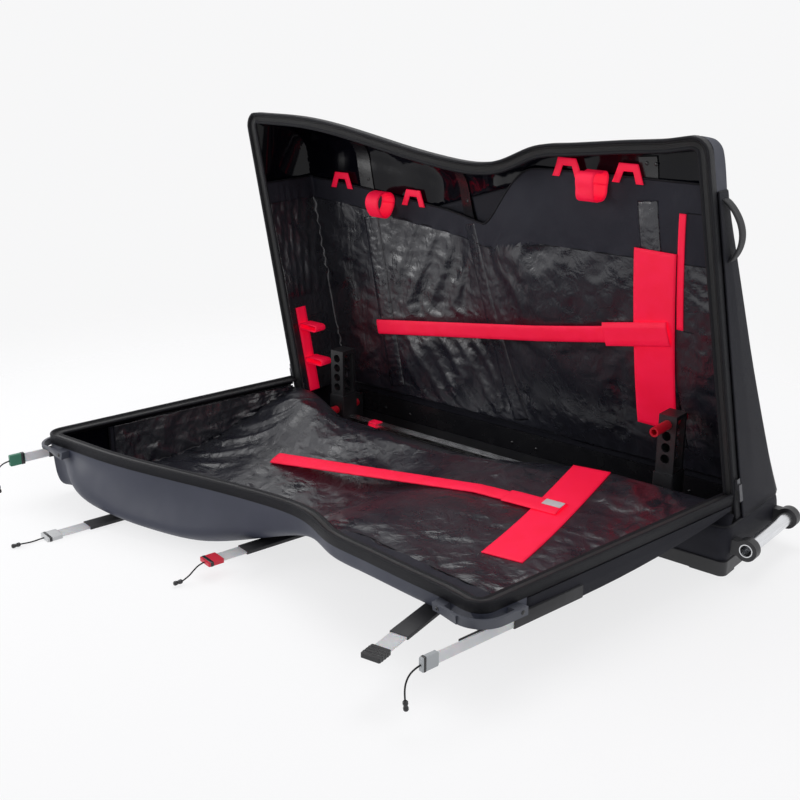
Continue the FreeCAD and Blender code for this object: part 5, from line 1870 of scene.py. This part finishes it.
def plate_rivets(head):
    """Up to two rivets below the top end of a batten plate."""
    plates = tree_of("rear_battens")
    rise = head[1] + PLATE_SEARCH
    while plates.ray_cast(rear.place(head[0], rise, 0.0), rear.outwards)[0] is None:
        rise -= RISE_STEP
    forms = []
    for across in PLATE_RIVET_X:
        start = rear.place(head[0] + across, rise - RIVET_INSET * RIVET, 0.0)
        hit, normal = plates.ray_cast(start, rear.outwards)[:2]
        if hit is not None:
            forms.append(rivet_form(hit, normal))
    return forms


rear_rivets = [form for ends in CHANNELS for form in plate_rivets(ends[0])]
strip_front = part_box("stiffener_strip")[0][1]
rear_rivets += [rivet_form(Vector((x, strip_front, STRIP_RIVET_Z)), -DEEP) for x in STRIP_RIVET_X]
finished("rear_rivets", joined(rear_rivets), satin_plastic, "rear_half", "black_plastic")

lid_rivets = []
for rise, depth in END_RIVETS:
    hit = lid.skin.ray_cast(lid.place(lid.edges(rise)[0] + END_REACH, rise, depth), -SIDE)[0]
    lid_rivets.append(rivet_form(hit, SIDE))
grips = tree_of("lid_corner_handles")
for (x, rise), (across, up) in GRIP_RIVETS:
    hit, normal = grips.ray_cast(lid.place(x, rise, GRIP_DEPTH), SIDE * across + lid.along * up)[:2]
    if hit is not None:
        lid_rivets.append(rivet_form(hit, normal))
finished("lid_rivets", joined(lid_rivets), satin_plastic, "lid", "black_plastic")
print("rivets:", len(rear_rivets), len(lid_rivets))

# %% [markdown]
# ## Bands on the clips
# Each clip has dark bands or rings round it. A band is a block a little larger than the clip, lying along
# the batten, with its edges rounded off so that they catch the light.

# %% Bands on the clips
BAND_ROUND = 0.0008
FLAT_CLIP = (0.0382, 0.0092)
EDGE_CLIP = (0.0092, 0.0262)
CLIP_BANDS = {
    "green": (EDGE_CLIP, ((-0.0125, 0.0080),)),
    "white": (FLAT_CLIP, ((0.0090, 0.0060),)),
    "red": (FLAT_CLIP, ((0.0095, 0.0070),)),
    "black": (FLAT_CLIP, ((-0.0080, 0.0030), (0.0, 0.0030), (0.0080, 0.0030))),
    "grey": (EDGE_CLIP, ((0.0110, 0.0050),)),
}


def band_form(middle, along, size, length):
    """Rounded block round a clip: its length lies along the batten."""
    across = along.cross(UP).normalized()
    turn = Matrix((along, across, UP)).transposed().to_4x4()
    shape = Matrix.Diagonal((length, size[0], size[1], 1.0))
    form = bmesh.new()
    bmesh.ops.create_cube(form, size=1.0)
    bmesh.ops.transform(form, matrix=Matrix.Translation(middle) @ turn @ shape, verts=form.verts[:])
    rounded(form, form.edges[:], BAND_ROUND)
    return form


for colour, (size, bands) in CLIP_BANDS.items():
    body = colour + "_batten"
    low, high = [Vector(corner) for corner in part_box("clip_" + colour)]
    middle = (low + high) / 2
    forms = [band_form(middle + axes[body] * offset, axes[body], size, length) for offset, length in bands]
    finished("clip_bands_" + colour, joined(forms), satin_plastic, body, "black_plastic")
print("clip bands:", len(CLIP_BANDS))

# %% [markdown]
# ## Piping and pocket seams
# Piping covers the seam between the shell of the rear half and the cloth below it. Two short seams mark the
# top and the bottom of the side pocket.

# %% Piping and pocket seams
EDGE_PIPING = 0.0022
POCKET_SEAMS = ((0.276, 0.421, 0.485), (0.520, 0.424, 0.468))
POCKET_STEPS = 12


def pocket_line(rise, first, last):
    """Places of a level seam on the rear liner."""
    spots = [between(first, last, i / POCKET_STEPS) for i in range(POCKET_STEPS + 1)]
    return [rear.under(x, rise, ON_LINER) for x in spots]


top_line = [rear.outside(rise, i / SKIN_COLUMNS, SKIN_LIFT) for i, rise in enumerate(seam_rises(rear))]
finished("rear_seam_piping", rope_form(top_line, EDGE_PIPING), binding, "rear_half", "black_fabric")
pocket_forms = [rope_form(pocket_line(*seam), SEAM) for seam in POCKET_SEAMS]
finished("pocket_seams", joined(pocket_forms), binding, "rear_half", "black_fabric")
print("piping and pocket seams")
